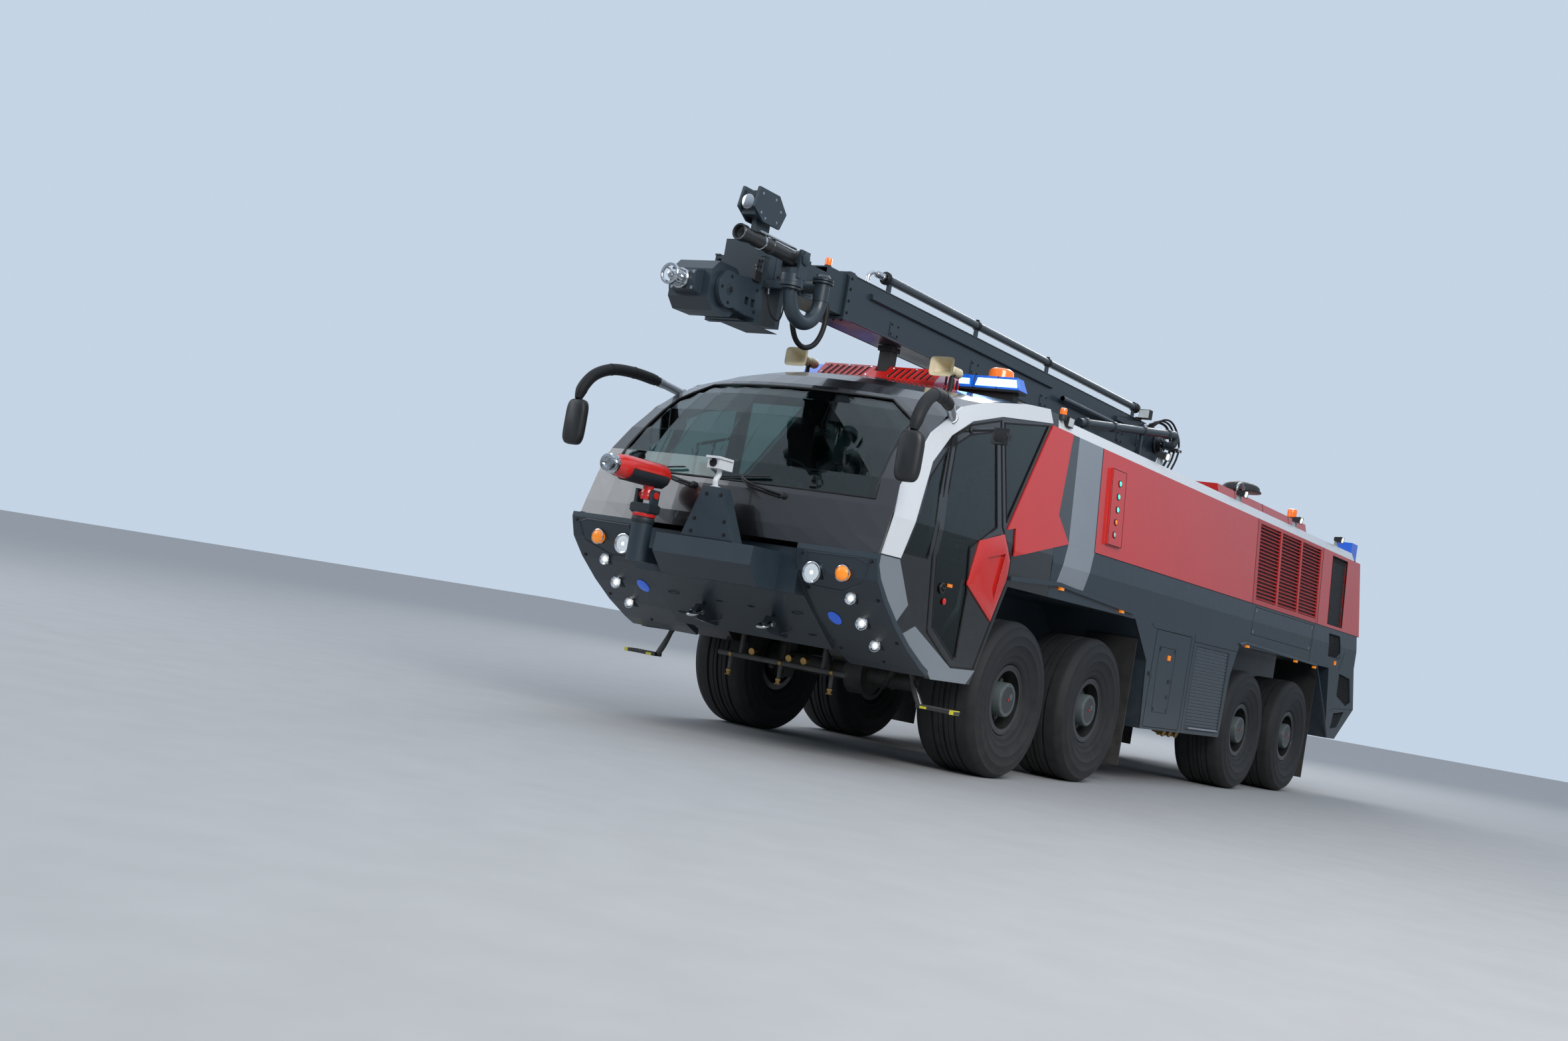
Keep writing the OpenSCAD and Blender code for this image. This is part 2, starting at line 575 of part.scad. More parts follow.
// Silver diagonal band and the sill below the door
module silver_trim() color("#b9bec1") placed() {
    both() side_sheet(0, panel_t)
        side_view([[700, band_z], [1284, band_z], [1404, panel_top], [850, panel_top]], 0, 2000);
    both() side_view([[-2281, 1640], [-2045, 1314], [-2180, 1172], [-2392, 1330], [-2530, 1470], [-2590, 1560],
        [-2592, 1640]], side_x, side_x + sill_t);
    both() side_view([[-1878, 1162], [-1202, 885], [-775, 895], [-898, 774], [-1500, 774], [-1592, 848],
        [-1697, 888], [-1952, 1016], [-2060, 1085]], side_x, side_x + sill_t);
}
sill_t = 8;
// Air intake on the hood and the boom's rest on the roof
module roof_gear() color("#26292b") placed() {
    translate([300, 8080, 3600]) cylinder(r = 90, h = 120);
    translate([300, 8080, 3719]) cylinder(r1 = 260, r2 = 200, h = 110);
    difference() {
        block(-60, 60, -620, -500, 3150, elbow_z - boom_h / 2 - 6);
        cab_loft(0);
    }
    // Beacon on the hood and blue lights at the rear corners
    translate([420, 9900, 3600]) cylinder(r = 65, h = 150);
    both() block(1040, side_at(panel_top, 60), rear_y - 290, rear_y - 20, panel_top, 3400);
}
// Louvred engine grille: slats fixed in three slanted columns of a frame
slat_z = [band_z + 60, panel_top - 45];
slat_rows = 21;
function slope_y(y0, y1, z) = y0 + (y1 - y0) * (z - band_z) / (panel_top - band_z);
// Columns of slats [front at the bottom, front at the top, rear at the bottom, rear at the top]
slat_columns = [[5960, 6105, 6700, 6870], [6760, 6930, 7510, 7690], [7570, 7750, 8320, 8545]];
module louvre() color("#b81d1b") placed() both() {
    intersection() {
        difference() {
            under_sides(0, 5860, 8700, band_z, panel_top);
            under_sides(panel_t, 5859, 8701, band_z - 1, panel_top + 1);
        }
        difference() {
            side_view([[5856, band_z], [8400, band_z], [8640, panel_top], [6006, panel_top]], 0, 2000);
            for (c = slat_columns) side_view([for (e = [[0, 0], [2, 0], [2, 1], [0, 1]])
                [slope_y(c[e[0]], c[e[0] + 1], slat_z[e[1]]), slat_z[e[1]]]], 0, 2001);
        }
    }
    for (c = slat_columns, i = [0 : slat_rows - 1]) {
        z = slat_z[0] + 22 + i * (slat_z[1] - slat_z[0] - 44) / (slat_rows - 1);
        front_view([[side_at(z, 2), z - 14], [side_at(z, 2), z - 8], [side_at(z, 26), z + 12], [side_at(z, 26), z + 6]],
            slope_y(c[0], c[1], z) - 4, slope_y(c[2], c[3], z) + 4);
    }
}
// Lockers between the bogies, and the fenders over the wheels
locker_y = [2884, 4140, 5330];
// The locker's sloping front, points [y, z], and the mud flap that hangs from it behind axle 2
locker_front = [[2444, arch_z], [2884, 1263]];
flap_y = 2655;
flap_top = arch_z - 0.3 - (flap_y - locker_front[0].x) * (arch_z - locker_front[1].y)
    / (locker_front[1].x - locker_front[0].x);
locker_z = [578, 1500];
fend_in = 1200;
hinge_y = 3081;
module lockers() color("#3c464c") placed() both() difference() {
    side_view(concat(locker_front, [[3000, locker_z[0]], [5330, locker_z[0]], [5400, 1273], [5560, arch_z]]),
        rail_x, side_x);
    block(rail_x + 80, side_x - 30, 3100, 4000, 640, 1560);
    block(side_x - 31, side_x + 1, 3060, 4040, 600, 1600);
    block(side_x - 46, side_x + 1, 3050, 3110, 600, 1600);
    translate([side_x - 15, hinge_y, 580]) cylinder(r = pin_r + run, h = 1035);
    block(side_x - 14, side_x + 1, 4230, 5280, 620, 1520);
}
// Lips over the front wheels, rear fenders and mud flaps
module lower_body() color("#3c464c") placed() both() {
    side_view([[-433, 1693], [546, 1753], [2338, 1674], [2338, 1700], [546, 1790], [-433, 1730]],
        side_x, fender_x);
    difference() {
        side_view(rear_fender, fend_in, side_x);
        side_view([[9640, 1300], [9610, 1600], [10130, 1560], [10320, 1250], [10120, 1190]], side_x - 160, side_x + 1);
        side_view([[9560, 860], [9620, 1070], [10100, 1110], [9850, 890]], side_x - 160, side_x + 1);
    }
    // Mud flaps behind axles 2 and 4
    block(900, 1440, flap_y - 15, flap_y, 190, flap_top);
    block(900, 1440, 8700, 8715, 190, arch_z - 0.3);
}
module locker_door(side) color("#3c464c") placed() mirror([side < 0 ? 1 : 0, 0, 0]) {
    block(side_x - 30, side_x, 3066, 4040 - seam, 600 + seam, 1600 - seam);
    translate([side_x - 15, hinge_y, 590]) cylinder(r = pin_r, h = 1020);
}

// Boom: turntable, lower boom, elbow pin, telescopic upper boom
boom_bottom = elbow_z - boom_h / 2;
low_w = 240;
low_h = 150;
pivot_r = 50;
elbow_r = 60;
ring_h = 50;
// Lift cylinder: base and rod eye, from the lower boom's pivot
base_dy = 150;
base_dz = -180;
eye_dy = 1400;
eye_dz = -175;
cyl_r = 42;
cyl_len = 900;
rod_r = 28;
module turntable() color("#2e3a41") placed() translate([0, turn_y, 0]) {
    difference() {
        translate([0, 0, panel_top + 0.5]) cylinder(r = 420, h = ring_h);
        translate([0, 0, panel_top]) cylinder(r = 200 + run, h = 41);
    }
    both() difference() {
        side_view([[-240, panel_top + ring_h - 1], [-120, lift_z + 90], [120, lift_z + 90],
            [260, panel_top + ring_h - 1]], low_w / 2 + 6, low_w / 2 + 46);
        rod_x(pivot_r + run, 0, 400, 0, lift_z);
    }
    rod_x(25, -low_w / 2 - 7, low_w / 2 + 7, base_dy, lift_z + base_dz);
}
cheek_in = boom_w / 2 + 8;
cheek_t = 30;
module lower_boom() color("#2e3a41") placed() {
    difference() {
        union() {
            block(-low_w / 2, low_w / 2, turn_y, elbow_y - 600, lift_z - low_h / 2, lift_z + low_h / 2);
            rod_x(low_h / 2, -low_w / 2, low_w / 2, turn_y, lift_z);
            rod_x(pivot_r, -low_w / 2 - 52, low_w / 2 + 52, turn_y, lift_z);
            block(-cheek_in - 1, cheek_in + 1, elbow_y - 601, elbow_y - 260, lift_z - low_h / 2, lift_z + low_h / 2);
            both() side_view([[elbow_y - 601, lift_z - low_h / 2], [elbow_y - 601, lift_z + low_h / 2],
                [elbow_y - 110, elbow_z + 90], [elbow_y + 110, elbow_z + 90], [elbow_y + 130, elbow_z - 120],
                [elbow_y - 60, lift_z - low_h / 2]], cheek_in, cheek_in + cheek_t);
            // Lugs for the lift cylinder's eye
            both() block(50, 70, turn_y + eye_dy - 60, turn_y + eye_dy + 60, lift_z + eye_dz - 45, lift_z - low_h / 2 + 1);
        }
        rod_x(elbow_r + run, -300, 300, elbow_y, elbow_z);
    }
    // Water pipe beside the boom, on two carriers
    bar(feed_a, feed_b, 45);
    block(low_w / 2 - 1, feed_a.x, 2700, 2740, lift_z + 20, lift_z + 60);
    block(feed_a.x - 15, feed_a.x + 15, 2700, 2740, lift_z + 20, feed_a.z - 10);
    block(low_w / 2 - 1, feed_a.x, 4240, 4280, lift_z + 20, lift_z + 60);
    block(feed_a.x - 15, feed_a.x + 15, 4240, 4280, lift_z + 20, 3770);
}
feed_a = [450, 2610, 3570];
feed_b = [450, 5150, 3910];
lift_tilt = atan2(eye_dz - base_dz, eye_dy - base_dy);
lift_len = norm([eye_dy - base_dy, eye_dz - base_dz]);
module at_cylinder() placed() translate([0, turn_y + base_dy, lift_z + base_dz]) rotate([lift_tilt, 0, 0]) children();
module lift_barrel() color("#26292b") at_cylinder() difference() {
    union() {
        rod_y(cyl_r, 0, cyl_len, 0, 0);
        rod_x(cyl_r, -45, 45, 0, 0);
    }
    rod_y(rod_r + run, 60, cyl_len + 1, 0, 0);
    rod_x(25 + run, -100, 100, 0, 0);
}
module lift_rod() color("#c9cdd0") at_cylinder() {
    rod_y(rod_r, 460, lift_len, 0, 0);
    rod_x(32, -40, 40, lift_len, 0);
}
module elbow() color("#26292b") placed() {
    rod_x(elbow_r, -cheek_in - cheek_t - 7, cheek_in + cheek_t + 7, elbow_y, elbow_z);
    both() rod_x(95, cheek_in + cheek_t + 6, cheek_in + cheek_t + 90, elbow_y, elbow_z);
}
module upper_boom() color("#2e3a41") placed() {
    difference() {
        union() {
            block(-boom_w / 2, boom_w / 2, boom_front, elbow_y, boom_bottom, boom_bottom + boom_h);
            rod_x(boom_h / 2, -boom_w / 2, boom_w / 2, elbow_y, elbow_z);
        }
        difference() {
            block(-boom_w / 2 + boom_t, boom_w / 2 - boom_t, boom_front - 1, elbow_y - 250,
                boom_bottom + boom_t, boom_bottom + boom_h - boom_t);
            // Wear pads in its mouth
            for (z = [boom_bottom + boom_t - 1, boom_bottom + boom_h - boom_t - slide_gap + run])
                block(-boom_w / 2 + 60, boom_w / 2 - 60, boom_front + 20, boom_front + 140, z, z + slide_gap + 1 - run);
        }
        rod_x(elbow_r + run, -300, 300, elbow_y, elbow_z);
    }
    // Water pipe on brackets along its top, and a shorter one on its left side
    rod_y(38, boom_front + 640, elbow_y - 510, pipe_x, boom_bottom + boom_h + 125);
    for (y = [boom_front + 700, 700, 2300, elbow_y - 620])
        block(pipe_x - 12, pipe_x + 12, y, y + 50, boom_bottom + boom_h - 1, boom_bottom + boom_h + 100);
    rod_y(26, 2580, 3880, boom_w / 2 + 60, elbow_z);
    for (y = [2700, 3720]) block(boom_w / 2 - 1, boom_w / 2 + 50, y, y + 40, elbow_z - 10, elbow_z + 10);
}
pipe_x = 130;
slide_gap = 6;
head_x = 450;
head_y = -2860;
swivel_z = 3600;
pierce_y = -3330;
pierce_z = 3420;
fork_x = 200;
module boom_slide() color("#2e3a41") placed() {
    w = boom_w / 2 - boom_t - slide_gap;
    z0 = boom_bottom + boom_t + slide_gap;
    z1 = boom_bottom + boom_h - boom_t - slide_gap;
    difference() {
        block(-w, w, boom_front - 300, elbow_y - 300, z0, z1);
        block(-w + boom_t, w - boom_t, boom_front - 301, elbow_y - 299, z0 + boom_t, z1 - boom_t);
    }
    // Wear pads at its rear end, running in the outer section
    pad = slide_gap - run;
    block(-w + 40, w - 40, elbow_y - 420, elbow_y - 300, z1 - 1, z1 + pad);
    block(-w + 40, w - 40, elbow_y - 420, elbow_y - 300, z0 - pad, z0 + 1);
    both() block(w - 1, w + pad, elbow_y - 420, elbow_y - 300, z0 + 60, z1 - 60);
    // Head: cross plate, and the fork of side plates that carries the piercing tool
    block(-w, w, head_y - 100, boom_front - 299, z0, z1 - 60);
    difference() {
        block(-fork_x - 40, fork_x + 40, head_y - 100, head_y - 40, pierce_z - 165, 3780);
        both() for (z = [3330, 3450, 3700]) block(180, 225, head_y - 110, head_y, z, z + 50);
    }
    both() difference() {
        union() {
            side_view([[head_y - 60, pierce_z - 140], [head_y - 60, 3600], [pierce_y, pierce_z + 120],
                [pierce_y, pierce_z - 120]], fork_x, fork_x + 40);
            rod_x(140, fork_x, fork_x + 40, pierce_y, pierce_z);
        }
        rod_x(40 + run, 0, 400, pierce_y, pierce_z);
        for (y = [head_y - 160, head_y - 240]) block(0, 400, y - 25, y + 25, pierce_z - 60, pierce_z);
    }
    // Sloping tray under the head, with its rear hanger
    side_view([[head_y - 200, pierce_z - 165], [head_y - 200, pierce_z - 153], [head_y + 360, pierce_z - 105],
        [head_y + 360, pierce_z - 117]], -150, 150);
    side_view([[head_y + 300, pierce_z - 115], [head_y + 300, z0 + 1], [head_y + 359, z0 + 1],
        [head_y + 359, pierce_z - 110]], -150, 150);
    // Water pipe bend on the head's left side, up to the nozzle's swivel
    rod_x(bend_tube - 8, w - 1, head_x, head_y + 2 * bend_r, bend_z + 110);
    translate([head_x, head_y + bend_r, bend_z]) rotate([90, 0, 90]) rotate([0, 0, 180])
        rotate_extrude(angle = 180) translate([bend_r, 0]) circle(r = bend_tube);
    translate([head_x, head_y, bend_z - 1]) cylinder(r = bend_tube + 4, h = swivel_z - bend_z);
    translate([head_x, head_y + 2 * bend_r, bend_z - 1]) cylinder(r = bend_tube + 4, h = 182);
    translate([head_x, head_y, swivel_z - 30]) cylinder(r = 95, h = 30);
    translate([head_x, head_y, swivel_z - 1]) cylinder(r = 30, h = 31);
    // Arm that steadies the swivel from the cross plate
    block(fork_x + 39, head_x - 20, head_y - 80, head_y - 45, swivel_z - 60, swivel_z - 5);
    block(head_x - 60, head_x - 20, head_y - 80, head_y, swivel_z - 60, swivel_z - 5);
}
bend_r = 215;
bend_tube = 58;
bend_z = swivel_z - 40;
nozzle_z = swivel_z + 190;
module nozzle_base() color("#2e3a41") placed() translate([head_x, head_y, 0]) {
    difference() {
        translate([0, 0, swivel_z + 0.5]) cylinder(r = 95, h = 60);
        translate([0, 0, swivel_z]) cylinder(r = 30 + run, h = 31);
    }
    both() difference() {
        block(70, 95, -60, 60, swivel_z + 30, nozzle_z + 60);
        rod_x(30 + run, 0, 200, 0, nozzle_z);
    }
}
module nozzle() color("#26292b") placed() translate([head_x, head_y, nozzle_z]) {
    rod_x(30, -100, 100, 0, 0);
    rod_x(62, -64, 64, 0, 0);
    rod_y(55, -701, 0, 0, 0);
    rod_y(64, -760, -700, 0, 0);
    // Search lamp in a folded bracket on the barrel
    block(-20, 20, -600, -420, 50, 151);
    block(-60, 60, -690, -470, 150, 330);
    rod_y(56, -720, -689, 0, 240);
    for (s = [-1, 1]) side_view([[-600, 120], [-735, 200], [-700, 360], [-440, 360], [-320, 250], [-380, 120]],
        s * 70 - 10, s * 70 + 10);
}
// Piercing tool: an eight-sided housing between the fork's discs, with its collar, lance and guard ring
module piercer() color("#2e3a41") placed() {
    rod_x(40, -fork_x - 45, fork_x + 45, pierce_y, pierce_z);
    side_view([for (p = [[-190, -110], [-110, -190], [110, -190], [190, -110], [190, 110], [110, 190], [-110, 190],
        [-190, 110]]) [pierce_y + p.x, pierce_z + p.y]], -fork_x + 6, fork_x - 6);
    block(-110, 110, -3610, pierce_y - 189, pierce_z - 100, pierce_z + 100);
    rod_y(78, -3660, -3609, 0, pierce_z);
    rod_y(40, spear_y + 20, -3659, 0, pierce_z);
    for (a = [45 : 90 : 315]) rod_y(7, spear_y + 12, -3659, 70 * cos(a), pierce_z + 70 * sin(a));
    translate([0, spear_y + 12, pierce_z]) rotate([90, 0, 0]) difference() {
        cylinder(r = 82, h = 24, center = true);
        cylinder(r = 62, h = 30, center = true);
    }
}

at_wheel(1, 1) tyre();  // tyre_1l
at_wheel(1, -1) tyre();  // tyre_1r
at_wheel(2, 1) tyre();  // tyre_2l
at_wheel(2, -1) tyre();  // tyre_2r
at_wheel(3, 1) tyre();  // tyre_3l
at_wheel(3, -1) tyre();  // tyre_3r
at_wheel(4, 1) tyre();  // tyre_4l
at_wheel(4, -1) tyre();  // tyre_4r
at_wheel(1, 1) wheel();  // wheel_1l
at_wheel(1, -1) wheel();  // wheel_1r
at_wheel(2, 1) wheel();  // wheel_2l
at_wheel(2, -1) wheel();  // wheel_2r
at_wheel(3, 1) wheel();  // wheel_3l
at_wheel(3, -1) wheel();  // wheel_3r
at_wheel(4, 1) wheel();  // wheel_4l
at_wheel(4, -1) wheel();  // wheel_4r
at_wheel(1, 1) knuckle();  // knuckle_1l
at_wheel(1, -1) knuckle();  // knuckle_1r
at_wheel(2, 1) knuckle();  // knuckle_2l
at_wheel(2, -1) knuckle();  // knuckle_2r
axles();
frame();
driveline();
cab_shell();
cab_glass();
white_trim();
silver_trim();
cab_interior();
door(1);  // door_l
door(-1);  // door_r
door_glass(1);  // door_glass_l
door_glass(-1);  // door_glass_r
door_cap(1);  // door_cap_l
door_cap(-1);  // door_cap_r
door_arm(1);  // door_arm_l
door_arm(-1);  // door_arm_r
bumper();
lamps();
mirrors();
roof_signals();
monitor_arm();
monitor_barrel();
tank_body();
red_panels();
louvre();
roof_gear();
lockers();
lower_body();
locker_door(1);  // locker_door_l
locker_door(-1);  // locker_door_r
turntable();
lower_boom();
lift_barrel();
lift_rod();
elbow();
upper_boom();
boom_slide();
nozzle_base();
nozzle();
piercer();
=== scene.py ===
import bmesh, bpy, math
from mathutils import Matrix, Vector


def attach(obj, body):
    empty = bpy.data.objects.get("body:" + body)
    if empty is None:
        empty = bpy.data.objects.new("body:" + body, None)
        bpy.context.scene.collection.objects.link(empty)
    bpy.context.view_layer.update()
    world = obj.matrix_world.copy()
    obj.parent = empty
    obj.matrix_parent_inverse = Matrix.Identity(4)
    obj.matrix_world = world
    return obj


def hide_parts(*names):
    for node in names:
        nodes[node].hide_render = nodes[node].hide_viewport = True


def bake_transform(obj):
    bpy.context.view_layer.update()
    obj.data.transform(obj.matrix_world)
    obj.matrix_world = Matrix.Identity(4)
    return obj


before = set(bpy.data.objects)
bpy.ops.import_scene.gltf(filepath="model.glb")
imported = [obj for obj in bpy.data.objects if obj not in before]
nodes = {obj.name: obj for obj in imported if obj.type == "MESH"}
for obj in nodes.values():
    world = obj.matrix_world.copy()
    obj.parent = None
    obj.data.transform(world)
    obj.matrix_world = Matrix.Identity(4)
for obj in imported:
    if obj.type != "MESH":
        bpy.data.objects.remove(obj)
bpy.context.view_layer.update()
LEFT, BACK, UP = (1, 0, 0), (0, 1, 0), (0, 0, 1)

# Chassis rails, axle housings, knuckles and driveline.
# Welded and forged steel under a dull dark chassis paint, with road dust low down.
# The rails are riveted C sections, and the axles hang below them on bellows.


def node_group(name, kind, takes, gives):
    """A group of nodes with its sockets; its nodes, its link function and its two ends come with it."""
    g = bpy.data.node_groups.new(name, kind)
    for label, socket, value in takes:
        made = g.interface.new_socket(label, in_out="INPUT", socket_type="NodeSocket" + socket)
        if value is not None:
            made.default_value = value
    for label, socket in gives:
        g.interface.new_socket(label, in_out="OUTPUT", socket_type="NodeSocket" + socket)
    return g, g.nodes, g.links.new, g.nodes.new("NodeGroupInput"), g.nodes.new("NodeGroupOutput")


def set_values(node, values):
    """Sets a node's inputs by their labels."""
    for label, value in values.items():
        node.inputs[label].default_value = value


def road_film_group():
    """Colour, roughness and height of a painted or moulded skin with a film of dust near the road."""
    takes = (("Color", "Color", (0.5, 0.5, 0.5, 1)), ("Dust Color", "Color", (0.30, 0.28, 0.25, 1)),
        ("Roughness", "Float", 0.4), ("Dust", "Float", 0.3), ("Grain", "Float", 240.0),
        ("Mottle", "Float", 0.06))
    gives = (("Color", "Color"), ("Roughness", "Float"), ("Height", "Float"))
    g, n, link, take, give = node_group("road film", "ShaderNodeTree", takes, gives)
    where = n.new("ShaderNodeTexCoord").outputs["Object"]

    def noise(scale, detail, seed):
        t = n.new("ShaderNodeTexNoise")
        t.noise_dimensions = "4D"
        set_values(t, {"W": seed, "Detail": detail})
        if isinstance(scale, float):
            t.inputs["Scale"].default_value = scale
        else:
            link(scale, t.inputs["Scale"])
        link(where, t.inputs["Vector"])
        return t.outputs["Fac"]

    def spread(value, a, b, c, d):
        m = n.new("ShaderNodeMapRange")
        set_values(m, {"From Min": a, "From Max": b, "To Min": c, "To Max": d})
        link(value, m.inputs["Value"])
        return m.outputs["Result"]

    def sums(kind, a, b):
        m = n.new("ShaderNodeMath")
        m.operation = kind
        for socket, v in zip(m.inputs, (a, b)):
            if isinstance(v, float):
                socket.default_value = v
            else:
                link(v, socket)
        return m.outputs["Value"]

    broad, patchy, grain = noise(1.7, 3.0, 1.0), noise(9.0, 6.0, 4.0), noise(take.outputs["Grain"], 2.0,
        7.0)
    axes = n.new("ShaderNodeSeparateXYZ")
    link(where, axes.inputs["Vector"])
    low = spread(axes.outputs["Z"], 0.15, 1.5, 1.0, 0.08)
    film = sums("MULTIPLY", sums("MULTIPLY", low, take.outputs["Dust"]),
        spread(patchy, 0.3, 0.75, 0.35, 1.0))
    shade = n.new("ShaderNodeHueSaturation")
    link(take.outputs["Color"], shade.inputs["Color"])
    link(sums("ADD", 1.0, sums("MULTIPLY", take.outputs["Mottle"], spread(broad, 0.3, 0.7, -1.0, 1.0))),
        shade.inputs["Value"])
    mix = n.new("ShaderNodeMix")
    mix.data_type = "RGBA"
    link(film, mix.inputs["Factor"])
    link(shade.outputs["Color"], mix.inputs["A"])
    link(take.outputs["Dust Color"], mix.inputs["B"])
    link(mix.outputs["Result"], give.inputs["Color"])
    rough = sums("ADD", take.outputs["Roughness"], sums("MULTIPLY", film, 0.5))
    link(sums("ADD", rough, spread(patchy, 0.3, 0.7, -0.02, 0.05)), give.inputs["Roughness"])
    link(sums("ADD", grain, sums("MULTIPLY", patchy, 0.2)), give.inputs["Height"])
    return g


road_film = road_film_group()


def blank(name):
    """A new material, its skin, and its ways to make and to link nodes."""
    m = bpy.data.materials.new(name)
    m.use_nodes = True
    return m, m.node_tree.nodes["Principled BSDF"], m.node_tree.nodes.new, m.node_tree.links.new


def bumps(new, link, skin, height, strength):
    """A small relief on a skin."""
    relief = new("ShaderNodeBump")
    set_values(relief, {"Strength": strength, "Distance": 0.002})
    link(height, relief.inputs["Height"])
    link(relief.outputs["Normal"], skin.inputs["Normal"])
    return relief


def finish(name, color, rough, dust=0.25, grain=240.0, mottle=0.06, bump=0.02, metal=0.0, coat=0.0,
        edge=0.004, glow=None):
    """A paint, metal or moulding: the road film over its colour, soft edges and perhaps a clear coat."""
    m, skin, new, link = blank(name)
    film = new("ShaderNodeGroup")
    film.node_tree = road_film
    set_values(film, {"Color": (*color, 1), "Roughness": rough, "Dust": dust, "Grain": grain,
        "Mottle": mottle})
    link(film.outputs["Color"], skin.inputs["Base Color"])
    link(film.outputs["Roughness"], skin.inputs["Roughness"])
    relief = bumps(new, link, skin, film.outputs["Height"], bump)
    if edge:
        soft = new("ShaderNodeBevel")
        soft.samples = 4
        soft.inputs["Radius"].default_value = edge
        link(soft.outputs["Normal"], relief.inputs["Normal"])
    set_values(skin, {"Metallic": metal, "Coat Weight": coat, "Coat Roughness": 0.06})
    if glow:
        set_values(skin, {"Emission Color": (*glow[0], 1), "Emission Strength": glow[1]})
    m.diffuse_color = (*color, 1)
    return m


def coat_node(material, *names):
    """Gives CAD nodes a finish."""
    for name in names:
        mesh = nodes[name].data
        mesh.materials.clear()
        mesh.materials.append(material)


MIDDLE_STATION = 3388.0


def at(x, y, z):
    """A place in millimetres, its station measured back from axle 1, in the frame's metres."""
    return Vector((x, y - MIDDLE_STATION, z)) / 1000


def in_scene(name, data):
    """A new object in the scene."""
    made = bpy.data.objects.new(name, data)
    bpy.context.scene.collection.objects.link(made)
    return made


def around(count, start=0.0):
    """Equal steps of angle round a circle."""
    return [2 * math.pi * k / count + start for k in range(count)]


def area(outline):
    """Twice an outline's area, above zero where it runs counter-clockwise."""
    return sum(a[0] * b[1] - b[0] * a[1] for a, b in zip(outline, outline[1:] + outline[:1]))


def curve(points, steps):
    """A smooth line through the points, with equal steps from each to the next."""
    points = [Vector(p) for p in points]
    path = []
    for i in range(len(points) - 1):
        p0, p1, p2, p3 = [points[max(0, min(len(points) - 1, i + k))] for k in (-1, 0, 1, 2)]
        for k in range(steps):
            t = k / steps
            path.append(0.5 * (2 * p1 + (p2 - p0) * t + (2 * p0 - 5 * p1 + 4 * p2 - p3) * t * t
                + (3 * p1 - p0 - 3 * p2 + p3) * t ** 3))
    return path + [points[-1]]


chassis_paint = finish("dull chassis paint", (0.018, 0.020, 0.022), 0.55, dust=0.55, bump=0.25)
forged_steel = finish("forged axle steel", (0.040, 0.043, 0.046), 0.5, dust=0.6, bump=0.3, metal=0.3)
coat_node(chassis_paint, "frame", "driveline")
coat_node(forged_steel, "axles", "knuckle_1l", "knuckle_1r", "knuckle_2l", "knuckle_2r")


